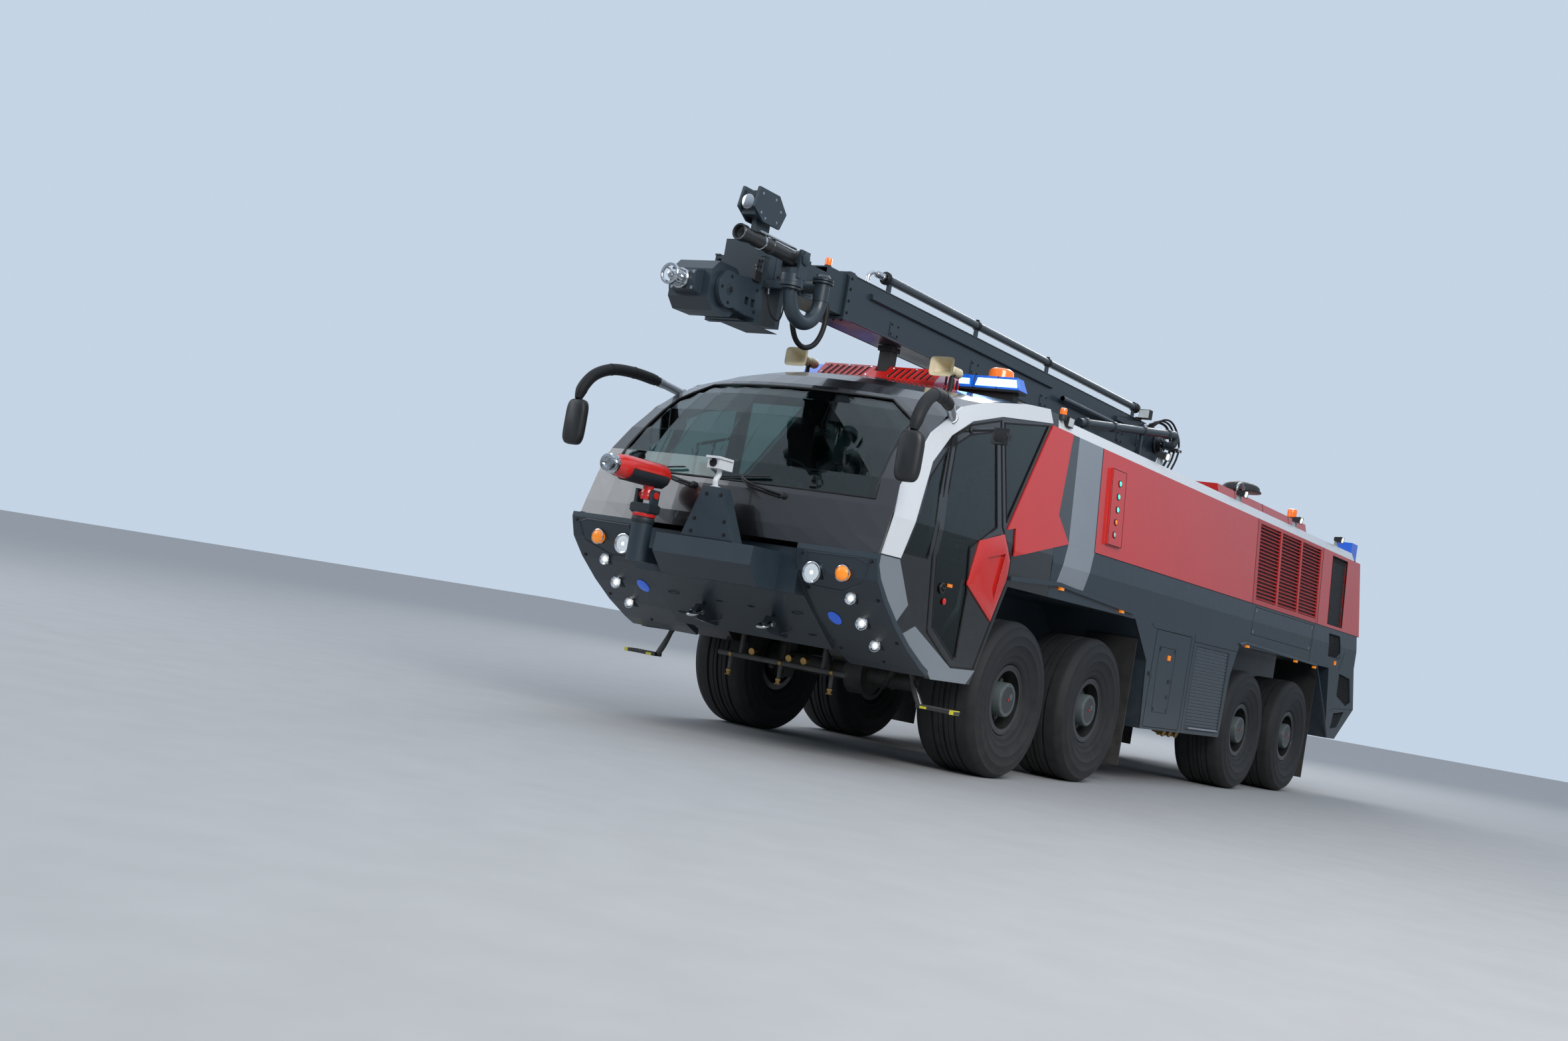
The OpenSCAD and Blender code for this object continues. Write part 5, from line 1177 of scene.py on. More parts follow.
for letter, sign in SIDES:
    mirror = Work(sign)
    path = [(1358, -1640, 2850), (1410, -1760, 2880), (1480, -1960, 2915), (1540, -2180, 2925),
        (1590, -2380, 2900), (1625, -2540, 2820), (1640, -2640, 2700), (1642, -2680, 2580)]
    smooth_path = curve(path, 6)
    n = len(smooth_path)
    radii = [34 if k < 9 else 34 + 16 * min(1, (k - 9) / 3) if k < n - 4 else 50 - 5 * (k - n + 5)
        for k in range(n)]
    mirror.slot = 2
    mirror.swept(smooth_path[:11], [r + 3 for r in radii[:9]] + [42, 44], 20)
    mirror.slot = 0
    mirror.swept(smooth_path[9:], radii[9:], 24)
    for k in (11, 17, 24):
        mirror.swept([smooth_path[k], smooth_path[k] + (smooth_path[k
            + 1] - smooth_path[k]).normalized() * 10], radii[k] + 3, 24)
    # Head: a rounded shell, hollow at the back around its glass
    mirror.slot = 1
    ring = soft_ring(40, 0.55, 0.45)
    rows = [(0.55, 0.86, -40), (0.84, 0.95, -30), (0.97, 0.99, -10), (1.0, 1.0, 14), (0.98, 0.99, 34),
        (0.94, 0.965, 38), (0.90, 0.94, 34), (0.90, 0.94, 26)]
    mirror.lofted([[(1635 + 105 * a * u, -2680 + y, 2385 + 196 * b * v) for u, v in ring] for a, b,
        y in rows], ends=1)
    mirror.slot = 3
    mirror._add([(1635 + 105 * 0.9 * u, -2680 + 27, 2385 + 196 * 0.94 * v) for u, v in ring],
        [tuple(range(40))])
    mirror.slot = 1
    mirror.block(1541, 1729, -2658, -2650, 2270, 2276, 1)
    mirror.face_out(1)
    mirror.slot = 2
    mirror.turned([(46, -14), (52, -6), (52, 10), (44, 18)], (1356, -1640, 2850), (0.55, -0.8, 0.2), 24)
    mirror.done(f"mirror_{letter}", "chassis", arm_black, mirror_shell, silver_paint, mirror_glass,
        smooth=40, stands_for=("mirrors",) if sign > 0 else ())

# Ramp mirror over each door: a small round-cornered head on a bent bar.
# Its shell is moulded round the glass, and the bar is bolted to the door's frame.
for letter, sign in SIDES:
    ramp = Work(sign)
    rows = [(0.5, 0.5, -1254), (0.86, 0.86, -1248), (1.0, 1.0, -1228), (1.0, 1.0, -1206),
        (0.93, 0.93, -1198), (0.9, 0.9, -1206)]
    ring = soft_ring(32, 0.6, 0.6)
    ramp.lofted([[(1605 + 77 * a * u, y, 2796 + 68 * b * v) for u, v in ring] for a, b, y in rows], ends=1)
    ramp.slot = 1
    ramp._add([(1605 + 77 * 0.9 * u, -1206, 2796 + 68 * 0.9 * v) for u, v in ring], [tuple(range(32))])
    ramp.face_out(0)
    ramp.slot = 0
    ramp.turned([(26, -6), (30, 2), (24, 10), (16, 16)], (1358, -1290, 2814), (1, 0.2, 0.1), 20)
    ramp.done(f"ramp_mirror_{letter}", f"door_{letter}", mirror_shell, mirror_glass, smooth=40)

# Roof signals: blue light bars, cream horns and an orange beacon round a red vent cowl with slanted slots.
# The bars are moulded blue domes over strobes on black bases, bolted to the roof.
blue_dome = patterned("blue dome", "Wave", 38.0, "Fac", ((0.004, 0.075, 0.46), (0.012, 0.16, 0.72)),
    {"Roughness": 0.1, "Transmission Weight": 0.35, "Coat Weight": 0.8,
    "Emission Color": (0.02, 0.22, 1.0, 1), "Emission Strength": 0.25})[0]
strobe_lit = finish("lit strobe", (0.75, 0.93, 1.0), 0.2, dust=0.0, edge=0, glow=((0.35, 0.75, 1.0), 1.6))
orange_dome = finish("orange beacon dome", (0.92, 0.17, 0.008), 0.14, dust=0.03, coat=0.8, edge=0,
    glow=((1.0, 0.20, 0.01), 0.35))
horn_cream = finish("cream horn enamel", (0.66, 0.56, 0.36), 0.4, dust=0.1, bump=0.03)


def beacon(work, place, radius, height, sides):
    """The stepped dome of an orange beacon, turned about its upright axis."""
    steps = [(1.0, 0.0), (1.0, 0.10), (0.90, 0.12), (0.90, 0.17), (0.97, 0.18), (0.97, 0.48), (0.90, 0.50),
        (0.90, 0.53), (0.97, 0.54), (0.97, 0.86), (0.90, 0.95), (0.70, 1.0), (0, 1.0)]
    work.turned([(radius * r, height * h) for r, h in steps], place, UP, sides)


roof = Work()
for s in (-1, 1):
    x0, x1 = (460, 1150) if s > 0 else (-1150, -460)
    roof.slot = 0
    roof.block(x0 + 4, x1 - 4, -176, -14, 3345, 3366, 8)
    roof.block(x0 + 60, x1 - 60, -140, -50, 3200, 3348, 8)
    roof.slot = 1
    roof.tapered((x0, x1, -180, -10, 3368), (x0 + 46, x1 - 46, -160, -30, 3480), 26)
    if s > 0:
        # The left bar is caught at its flash
        roof.slot = 2
        roof.tapered((x0 + 250, x1 - 22, -180.6, -130, 3386), (x0 + 262, x1 - 46, -166.5, -130, 3458), 14)
        roof.tapered((x0 + 70, x0 + 190, -180.6, -130, 3392), (x0 + 84, x0 + 180, -168.5, -130, 3446), 12)
    roof.slot = 0
    for k in (1, 2):
        x = x0 + (x1 - x0) * k / 3
        roof.tapered((x - 4, x + 4, -182.5, -8, 3366), (x - 4, x + 4, -162, -28, 3482), 1.5)
roof.slot = 3
for s in (-1, 1):
    x = s * 753
    flare = [(0.28, -742), (0.30, -770), (0.42, -815), (0.68, -860), (0.97, -888), (1.0, -893),
        (0.96, -890), (0.64, -856), (0.36, -810), (0.16, -780)]
    ring = soft_ring(32, 0.35, 0.35, math.pi / 32)
    roof.lofted([[(x + 120 * a * u, y, 3400 + 85 * a * v) for u, v in ring] for a, y in flare])
    roof.turned([(36, -745), (44, -738), (45, -700), (40, -692), (45, -684), (45, -580), (36, -562),
        (0, -560)], (x, 0, 3400), BACK, 28)
    roof.slot = 0
    roof.turned([(20, 0), (20, 210), (34, 214), (34, 222)], (x, -680, 3150), UP, 16)
    roof.slot = 3
roof.face_out(3)
# Beacon with its black foot
roof.slot = 0
roof.turned([(96, 0), (121, 4), (121, 60), (116, 72)], (800, 110, 3230), UP, 28)
roof.slot = 4
beacon(roof, (800, 110, 3296), 117, 300, 36)
roof.done("roof_signal_lamps", "chassis", step_black, blue_dome, strobe_lit, horn_cream, orange_dome,
    smooth=40)
cowl = Work()
outline = [(-745, 3210), (-735, 3285), (-600, 3420), (-330, 3430), (-280, 3250)]
for x0, x1 in ((-620, -66), (66, 620)):
    cowl.plate(outline, "x", x0, x1, 10)
cowl.plate([(-745, 3210), (-735, 3285), (-655, 3365), (-655, 3210)], "x", -67, 67)
# Slots, drawn as dark slanted strips inside raised red rims; their near black is painted shade standing in
# for the openings
for s in (-1, 1):
    for k in range(7):
        x = s * (150 + k * 66)
        a, b = Vector((x - 16, -718, 3302)), Vector((x + 16, -622, 3398))
        n = Vector((0, -0.707, 0.707))
        for slot, w, h in ((0, 16, 3.5), (1, 10, 5)):
            cowl.slot = slot
            d = (b - a).normalized()
            e = d.cross(n).normalized() * w
            cowl.solid([a - e - n * 2, b - e - n * 2, b + e - n * 2, a + e - n * 2],
                [a - e + n * h, b - e + n * h, b + e + n * h, a + e + n * h], 1.5)
    # Dark blocks for the side slots; their black is painted shade in the openings.
    for k in range(4):
        y = -560 + k * 66
        cowl.slot = 1
        cowl.block(s * 620 - 2, s * 620 + 2, y, y + 34, 3300, 3380, 1)
cowl.face_out()
cowl.done("roof_vent_cowl", "chassis", red_paint, joint_and_painted_shade_black, smooth=30, stands_for=("roof_signals",))
bolts("cowl_bolts", "chassis", chrome, [((s * x, -702, 3322 - 4), (0, -0.707, 0.707)) for s in (-1, 1)
    for x in (116, 585)] + [((s * x, -619, 3405), (0, -0.707, 0.707)) for s in (-1, 1)
    for x in (116, 350, 585)], 8, 6)
bolts("cowl_side_bolts", "chassis", chrome, [((s * 620.5, y, 3270), (s, 0, 0)) for s in (-1, 1)
    for y in (-700, -600, -500, -400, -310)], 8, 5)

# Hood and roof gear: red engine hood with a black joint, an air intake dome, a beacon and blue rear lamps.
# Sheet covers are bolted down; the dome is moulded plastic over a steel pipe.
dome_black = finish("moulded dome", (0.016, 0.017, 0.018), 0.5, dust=0.25, edge=0, bump=0.1)
gear = Work()
gear.turned([(88, 0), (88, 60), (96, 64), (96, 112)], (300, 8080, 3600), UP, 32)
gear.turned([(150, 100), (248, 96), (262, 100), (262, 118), (246, 124), (244, 132), (232, 168), (206, 190),
    (120, 220), (60, 229), (0, 230)], (300, 8080, 3600), UP, 48)
gear.block(-58, 58, -618, -502, 3250, 3560, 10)
gear.block(-74, 74, -632, -488, 3556, 3602, 10)
# Black edge round the hood's foot and crosswise joints of its covers
for x in (-1, 1):
    gear.block(x * 604 - 9, x * 604 + 9, 6690, 10290, 3185, 3200)
for y in (7300, 8400, 9500):
    gear.plate([(-606, 3200), (-502, 3603), (502, 3603), (606, 3200)], "y", y - 5, y + 5)
gear.slot = 1
gear.turned([(68, 0), (72, 6), (72, 30), (64, 40)], (420, 9900, 3600), UP, 24)
gear.slot = 2
beacon(gear, (420, 9900, 3638), 66, 112, 32)
gear.slot = 3
for s in (-1, 1):
    gear.block(s * 1145 - 104, s * 1145 + 104, 10072, 10338, 3176, 3398, 26, 4)
gear.slot = 1
for s in (-1, 1):
    gear.block(s * 1145 - 106, s * 1145 + 106, 10070, 10340, 3151, 3182, 6)
gear.slot = 4
gear.bent([(480, 7450, 3600), (480, 7450, 3690), (480, 7560, 3740), (480, 7670, 3690), (480, 7670, 3600)],
    16, 14, 6)
for y in (7450, 7670):
    gear.turned([(34, 0), (34, 8), (20, 12)], (480, y, 3600), UP, 18)
for x in (-1, 1):
    gear.bent([(x * 560, 8700, 3340), (x * 620, 8705, 3360), (x * 620, 9295, 3360), (x * 560, 9300, 3340)],
        12, 12, 5)
gear.done("roof_gear_covers", "chassis", dome_black, step_black, orange_dome, blue_dome, brushed,
    stands_for=("roof_gear",))
hood_screws = []
for y in [6750 + 250 * k for k in range(15)]:
    for s in (-1, 1):
        hood_screws.append(((s * 598, y, 3235), (s * 0.966, 0, 0.258)))
bolts("hood_screws", "chassis", brushed, hood_screws, 8, 5)
rail_rivets = [((s * side_at(3190, -16), y, 3190), (s, 0, 0.3)) for s in (-1, 1)
    for y in range(700, 10000, 310)]
bolts("rail_screws", "chassis", white_paint, rail_rivets, 7, 3, 12)

# Work lights along the roof rail: square lamps in black cases, tipped over the side on light-grey brackets.
# Each case has cooling ribs behind and a clear face over its reflector.
pale_bracket = finish("light-grey bracket", (0.40, 0.43, 0.45), 0.4, dust=0.1)


def between(work, y0, y1, low, high, edge=0.0):
    """A block between two stations, its foot and its top each given by two points of (across, height)."""
    work.solid(*[[(a[0], y0, a[1]), (b[0], y0, b[1]), (b[0], y1, b[1]), (a[0], y1, a[1])] for a,
        b in (low, high)], edge)


for letter, sign in SIDES:
    lights = Work(sign)
    for y in (2990, 5450, 7550, 9380):
        lights.slot = 0
        lights.plate([(1214, 3255), (1256, 3255), (1250, 3322), (1232, 3330), (1222, 3322)], "y", y - 38,
            y + 38, 4)
        lights.slot = 1
        between(lights, y - 62, y + 62, ((1218, 3330), (1290, 3314)), ((1226, 3378), (1300, 3385)), 8)
        for k in range(5):
            lights.block(1214, 1222, y - 52 + k * 24, y - 44 + k * 24, 3328, 3376, 1)
        between(lights, y - 65, y + 65, ((1290, 3310), (1310, 3306)), ((1300, 3388), (1320, 3384)), 4)
        lights.slot = 2
        between(lights, y - 54, y + 54, ((1309, 3316), (1311.5, 3315)), ((1318, 3376), (1321, 3375)))
        lights.slot = 3
        lights.turned([(34, 0), (34, 2.5), (0, 3.5)], (1315, y - 2, 3346), (1, 0, -0.14), 24)
    # Small lamp and beacon on the red pillar's top
    lights.slot = 1
    between(lights, 545, 665, ((1248, 3204), (1318, 3196)), ((1252, 3284), (1326, 3290)), 8)
    lights.slot = 2
    between(lights, 555, 655, ((1318, 3206), (1321, 3206)), ((1325, 3280), (1328, 3280)))
    lights.slot = 0
    lights.block(1240, 1262, 570, 640, 3160, 3260, 4)
    lights.slot = 1
    lights.turned([(30, 0), (38, 4), (38, 44), (34, 50)], (1290, 477, 3240), UP, 20)
    lights.slot = 4
    beacon(lights, (1290, 477, 3286), 34, 62, 24)
    lights.done(f"work_lights_{letter}", "chassis", pale_bracket, step_black, clear_face, lit_lens,
        orange_dome)

# Boom: welded steel box sections in dark blue-grey enamel on a turntable, raised by a hydraulic cylinder.
# Reinforcing collars, clamped pipes and bolted bearing caps are added to the bare sections.
coat_node(slate, "turntable", "lower_boom", "upper_boom", "boom_slide", "nozzle_base")
cylinder_black = finish("black cylinder enamel", (0.014, 0.015, 0.016), 0.35, dust=0.15, coat=0.3)
coat_node(cylinder_black, "lift_barrel", "elbow")
coat_node(chrome, "lift_rod")
pipe_grey = finish("blue-grey pipe enamel", (0.035, 0.048, 0.058), 0.36, dust=0.15, coat=0.3)
hose_black = rubber("black hose rubber", (0.010, 0.010, 0.011), 0.5, dust=0.1, bump=0.2)

# Half width, underside and top of the outer section, and where the water pipe's axis lies over it
BOOM_HALF, BOOM_FOOT, BOOM_TOP = 180, 3610, 3990
PIPE_X, PIPE_Z = 130, 4115
outer = Work()
# Collar round the outer section's mouth, and its wear strip screws' pads
for y0, y1, d in ((-1672, -1600, 14), (-1600, -1560, 7)):
    outer.block(-BOOM_HALF - d, BOOM_HALF + d, y0, y1, BOOM_TOP, BOOM_TOP + d, 3)
    outer.block(-BOOM_HALF - d, BOOM_HALF + d, y0, y1, BOOM_FOOT - d, BOOM_FOOT, 3)
    for s in (-1, 1):
        outer.block(s * (BOOM_HALF + d / 2) - d / 2, s * (BOOM_HALF + d / 2) + d / 2, y0, y1, BOOM_FOOT,
            BOOM_TOP, 3)
# Weld ridges along the lower corners, and joint plates on the flanks
for s in (-1, 1):
    outer.bar((s * BOOM_HALF, -1560, 3613), (s * BOOM_HALF, 5060, 3613), 7, 8)
    outer.bar((s * BOOM_HALF, -1560, 3987), (s * BOOM_HALF, 5060, 3987), 7, 8)
    for y in (-900, 640, 2180, 4200):
        outer.block(s * 183 - 4, s * 183 + 4, y, y + 150, 3640, 3760, 3)
    outer.block(s * 184 - 5, s * 184 + 5, 4760, 5100, 3680, 3920, 4)
# Rib along the left flank, as the cable duct under a folded cover
outer.plate([(181, 3852), (214, 3862), (214, 3900), (181, 3910)], "y", -1300, 2380, 4)
outer.plate([(181, 3852), (214, 3862), (214, 3900), (181, 3910)], "y", 4080, 4700, 4)
outer.slot = 1
for y in (-1006, 724, 2324, 4654):
    outer.turned([(39, -22), (47, -18), (47, 18), (39, 22)], (PIPE_X, y, PIPE_Z), BACK, 24)
    outer.block(118, 142, y - 18, y + 18, 4158, 4172, 3)
outer.turned([(39, 0), (46, 6), (58, 10), (58, 34), (46, 38), (40, 60)], (PIPE_X, -1040, PIPE_Z), BACK, 28)
outer.turned([(39, 0), (52, 4), (58, 10), (58, 34), (40, 38)], (PIPE_X, 4690, PIPE_Z), BACK, 28)
outer.slot = 2
outer.turned([(38.4, 0), (38.4, 5500)], (PIPE_X, -940, PIPE_Z), BACK, 32)
outer.turned([(26.4, 0), (26.4, 1300)], (240, 2580, 3800), BACK, 24)
outer.slot = 3
# Plated unions where the pipe starts at the front
outer.turned([(24, 0), (34, 4), (34, 40), (26, 46), (26, 90), (34, 94), (34, 120), (20, 126)],
    (PIPE_X, -1170, PIPE_Z), BACK, 6)
outer.bent([(PIPE_X, -1165, PIPE_Z), (128, -1230, 4112), (120, -1280, 4080), (118, -1290, 3996)], 19, 16, 5)
outer.turned([(30, -6), (30, 22), (22, 28)], (118, -1290, 3990), UP, 6)
outer.slot = 4
outer.block(236, 364, 4590, 4680, 3985, 4090, 10)
outer.block(190, 250, 4610, 4660, 3960, 4000, 4)
outer.slot = 5
outer.block(242, 358, 4584, 4592, 3993, 4082, 6)
outer.done("outer_boom_fittings", "upper_boom", slate, black_bolt, pipe_grey, chrome, step_black,
    clear_face)
bolts("boom_collar_bolts", "upper_boom", black_bolt, [((x, -1636, z), (0, 0, 1 if z > 3800 else -1))
    for x in (-150, -75, 0, 75, 150) for z in (4004, 3596)] + [((s * 194, -1636, z), (s, 0, 0))
    for s in (-1, 1) for z in (3660, 3760, 3860, 3950)], 10, 8)
plate_bolts = [((s * 187, y + dy, z), (s, 0, 0)) for s in (-1, 1) for y in (-900, 640, 2180, 4200)
    for dy in (20, 130) for z in (3658, 3742)]
bolts("boom_plate_bolts", "upper_boom", black_bolt, plate_bolts, 8, 6)

# Lower boom and turntable: pivot caps, clamped water pipe and hydraulic lines on welded steel.
# A ring of bolts holds the foot.
# Couplings on the pipe are grooved clamps with two bolts each.
ELBOW_Y, ELBOW_Z = 5250, 3800
low = Work()
for s in (-1, 1):
    low.turned([(48, 0), (58, 4), (58, 16), (50, 22), (20, 22), (16, 16), (0, 16)], (s * 172, 1400, 3440),
        (s, 0, 0), 28)
    low.bar((s * 120, 1660, 3368), (s * 120, 4640, 3368), 6, 8)
    low.bar((s * 120, 1660, 3512), (s * 120, 4640, 3512), 6, 8)
    low.turned([(98, 0), (108, 6), (108, 20), (100, 26)], (s * 226, ELBOW_Y, ELBOW_Z), (s, 0, 0), 36)
low.slot = 1
a, b = Vector((450, 2610, 3570)), Vector((450, 5150, 3910))
for t in (0.06, 0.34, 0.66, 0.94):
    p = a + (b - a) * t
    low.turned([(46, -30), (58, -26), (58, -10), (52, -6), (52, 6), (58, 10), (58, 26), (46, 30)], p, b - a,
        28)
    low.bar(p + Vector((58, 0, 18)), p + Vector((58, 0, -18)), 9, 8)
low.bent([b, b + Vector((0, 62, 8)), b + Vector((0, 100, -40)), b + Vector((-20, 100, -100)),
    b + Vector((-70, 100, -110)), b + Vector((-131, 100, -110))], 42, 20, 5)
low.turned([(42, 0), (52, 3), (52, 16), (42, 19)], (330, ELBOW_Y, ELBOW_Z), LEFT, 24)
low.slot = 2
low.bent([(170, 1620, 3400), (170, 2100, 3395), (168, 3200, 3398), (168, 4300, 3400), (215, 4720, 3480)],
    12, 8, 4)
low.bent([(198, 1620, 3420), (198, 2100, 3418), (196, 3200, 3420), (196, 4300, 3422), (225, 4700, 3500)],
    12, 8, 4)
low.slot = 0
for y in (1900, 2700, 3500, 4240):
    low.block(119, 214, y, y + 26, 3384, 3438, 4)
low.done("lower_boom_fittings", "lower_boom", slate, pipe_grey, hose_black)
foot_bolts = [((395 * math.cos(t), 1400 + 395 * math.sin(t), 3200.5), UP) for t in around(28)]
bolts("turntable_bolts", "turntable", black_bolt, foot_bolts, 13, 10)
cap_bolts = [((s * 312, ELBOW_Y + 70 * math.cos(t), ELBOW_Z + 70 * math.sin(t)), (s, 0, 0)) for s in (-1, 1)
    for t in around(8)]
bolts("elbow_cap_bolts", "elbow", chrome, cap_bolts, 9, 8)
ram = Work()
tilt = math.atan2(5, 1250)
way = Vector((0, math.cos(tilt), math.sin(tilt)))
foot = Vector((0, 1550, 3260))
ram.turned([(43, 0), (50, 4), (50, 60), (44, 66), (36, 70), (28.6, 72)], foot + way * 836, way, 32)
ram.turned([(43, 0), (47, 6), (47, 40), (43, 46)], foot + way * 60, way, 32)
ram.bent([foot + way * 90 + Vector((0, 0, 44)), foot + way * 110 + Vector((0, 0, 62)),
    foot + way * 700 + Vector((0, 0, 62)), foot + way * 800 + Vector((0, 0, 44))], 8, 8, 4)
ram.done("lift_cylinder_gland", "lift_barrel", cylinder_black)

# Elbow hoses: thick black hydraulic hoses looped round the joint from the lower boom to the upper one.
# Each is rubber over wire braid, held by plated fittings at both ends.


def hose(name, body, route, diameter, skin, far=None, bare_end=False):
    """A hose along its route in millimetres, with plated fittings at its ends.
    Where far is given, the hose is fixed to no body and runs between the two, and its last fitting rides on
    the far one."""
    w = Work()
    path = curve(route, 8)
    w.swept(path, diameter / 2, 14)
    made = w.done(name, None if far else body, skin, smooth=60)
    if far:
        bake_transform(made)
    r = diameter / 2
    for end, carrier, p, q in (("near", body, path[0], path[1]), ("far", far or body, path[-1], path[-2])):
        if end == "far" and bare_end:
            continue
        f = Work()
        d = (q - p).normalized()
        f.turned([(r * 1.15, -8), (r * 1.3, -4), (r * 1.3, 22), (r * 1.1, 26), (r * 1.1, 50)], p, d, 16)
        f.turned([(r * 1.55, -16), (r * 1.55, 4)], p, d, 6)
        f.done(f"{name}_{end}_fitting", carrier, chrome)


for k, (x, z, back) in enumerate(((300, 3540, 0), (340, 3490, 40), (378, 3440, 75))):
    saddle = (x - 4, 5520 + back, 3790)
    hose(f"elbow_hose_{k + 1}_lower", "lower_boom", [(238, 4890, z), (262, 4960, z - 6), (x, 5080, z - 20),
        (x, 5290, z - 26), (x, 5440 + back, 3640), saddle], 30 if k == 0 else 24, hose_black, far="elbow",
        bare_end=True)
    hose(f"elbow_hose_{k + 1}_upper", "elbow", [saddle, (x - 10, 5460 + back, 3940),
        (x - 20, 5320, 4030 + 20 * k), (x - 50, 5120, 4040 + 15 * k), (250, 4980, 3990 - 20 * k),
        (200, 4900, 3950 - 45 * k)], 30 if k == 0 else 24, hose_black, far="upper_boom")
clamp = Work()
clamp.block(219, 244, 4862, 4900, 3420, 3560, 6)
clamp.done("elbow_hose_clamp", "lower_boom", slate_dark)
saddle_arm = Work()
saddle_arm.plate([(5300, 3760), (5480, 3765), (5620, 3765), (5620, 3812), (5480, 3815), (5300, 3840)], "x",
    309, 321, 3)
saddle_arm.block(278, 398, 5490, 5506, 3776, 3806, 4)
saddle_arm.block(278, 398, 5612, 5626, 3776, 3806, 4)
saddle_arm.done("elbow_hose_saddle", "elbow", slate_dark)

# Piercing head: an eight-sided housing with a plated lance in a polished cage, its guard ring at the front.
# The housing is welded plate between side discs; the lance screws into its collar.
lance_steel = finish("polished stainless steel", (0.58, 0.60, 0.62), 0.14, metal=1.0, dust=0.03, edge=0,
    mottle=0.02)
TOOL_Y, TOOL_Z = -3330, 3420
pierce = Work()
octagon = [(-190, -110), (-110, -190), (110, -190), (190, -110), (190, 110), (110, 190), (-110, 190),
    (-190, 110)]
pierce.plate([(TOOL_Y + a, TOOL_Z + b) for a, b in octagon], "x", -190, 190, 14, 3)
for s in (-1, 1):
    pierce.turned([(132, 0), (150, 2), (150, 3.5), (132, 4)], (s * 190, TOOL_Y, TOOL_Z), (s, 0, 0), 40)
pierce.plate([(-3520, 3330), (-3600, 3345), (-3612, 3362), (-3612, 3480), (-3600, 3500), (-3520, 3520)],
    "x", -110, 110, 8)
pierce.bar((-244, TOOL_Y, TOOL_Z), (244, TOOL_Y, TOOL_Z), 39.5, 28)
pierce.slot = 1
pierce.turned([(66, -6), (78, 0), (78, 40), (70, 48), (56, 50), (44, 52)], (0, -3608, TOOL_Z), (0, -1, 0),
    36)
pierce.turned([(41, 0), (41, 74), (34, 94), (20, 118), (8, 122)], (0, -3658, TOOL_Z), (0, -1, 0), 32)
for a in (45, 135, 225, 315):
    c, s = math.cos(math.radians(a)), math.sin(math.radians(a))
    pierce.bar((70 * c, -3655, TOOL_Z + 70 * s), (70 * c, -3774, TOOL_Z + 70 * s), 7, 12)
pierce.turned([(62, -8), (66, -12), (78, -12), (82, -7), (82, 7), (78, 12), (66, 12), (62, 8)],
    (0, -3772, TOOL_Z), BACK, 48, closed=True)
pierce.slot = 2
for s in (-1, 1):
    pierce.turned([(30, 0), (30, 5), (22, 8), (0, 8)], (s * 240, TOOL_Y, TOOL_Z), (s, 0, 0), 6)
pierce.done("piercing_tool", "piercer", slate, lance_steel, black_bolt, smooth=30, stands_for=("piercer",))
bolts("piercer_bolts", "piercer", black_bolt, [((s * 191, TOOL_Y + 118 * math.cos(t),
    TOOL_Z + 118 * math.sin(t)), (s, 0, 0)) for s in (-1, 1) for t in around(8, 0.4)], 9, 3.5)
bolts("collar_bolts", "piercer", lance_steel, [((x, -3612, TOOL_Z + z), (0, -1, 0)) for x in (-92, 92)
    for z in (-60, 60)], 9, 7)

# Head frame: bolted flange on the pipe bend, a six-sided swivel cover, hose ports and wear plates.
# Everything is bolted through the cross plate, as the square holes let a spanner in.
head = Work()
for z in (3700, 3722):
    head.turned([(59, 0), (84, 2), (84, 16), (59, 18)], (450, -2430, z), UP, 32)
head.turned([(60, 0), (82, 2), (82, 18), (60, 20)], (450, -2860, 3548), UP, 32)
head.turned([(50.5, 0), (72, 3), (72, 18), (50.5, 21)], (250, -2430, 3670), LEFT, 28)
head.turned([(72, 0), (72, 20), (50.5, 22)], (162, -2430, 3670), LEFT, 28)
head.turned([(62, 0), (62, 10), (40, 34), (0, 40)], (450, -2430, 3741), UP, 32)
for s in (-1, 1):
    head.block(s * 162 - 4, s * 162 + 4, -2700, -2040, 3660, 3880, 6)
    head.block(s * 165 - 6, s * 165 + 6, -2600, -2560, 3640, 3900, 4)
    head.block(s * 220 - 23, s * 220 + 23, -2966, -2895, 3776, 3788, 5)
head.block(-150, 150, -3050, -2510, 3262, 3266, 2)
head.slot = 1
head.block(-70, 90, -2330, -2120, 3912, 3960, 10)
for x in (-40, 10, 60):
    head.turned([(20, 0), (20, 16), (14, 22), (14, 44)], (x, -2180, 3958), UP, 6)
head.turned([(30, 0), (30, 24)], (100, -1890, 3972), UP, 20)
head.slot = 2
beacon(head, (100, -1890, 3994), 30, 62, 28)
head.slot = 3
head.block(232, 262, -3080, -2990, 3560, 3640, 8)
head.turned([(20, 0), (20, 34), (28, 36), (28, 52)], (247, -3035, 3636), UP, 14)
head.done("head_fittings", "boom_slide", slate, slate_dark, orange_dome, cylinder_black)
flange_bolts = []
for y, z, way_z in ((-2430, 3740, 1), (-2860, 3548, -1)):
    for t in around(8):
        flange_bolts.append(((450 + 74 * math.cos(t), y + 74 * math.sin(t), z), (0, 0, way_z)))
for s in (-1, 1):
    for y in (-2650, -2360, -2110):
        for z in (3690, 3850):
            flange_bolts.append(((s * 166, y, z), (s, 0, 0)))
    for y, z in ((-2990, 3330), (-2990, 3500), (-3330, 3520), (-3330, 3320), (-3430, 3420)):
        flange_bolts.append(((s * 240, y, z), (s, 0, 0)))
    for z in (3300, 3540, 3640, 3740):
        flange_bolts.append(((s * 212, -2960, z), (0, -1, 0)))
bolts("head_bolts", "boom_slide", black_bolt, flange_bolts, 9, 7)

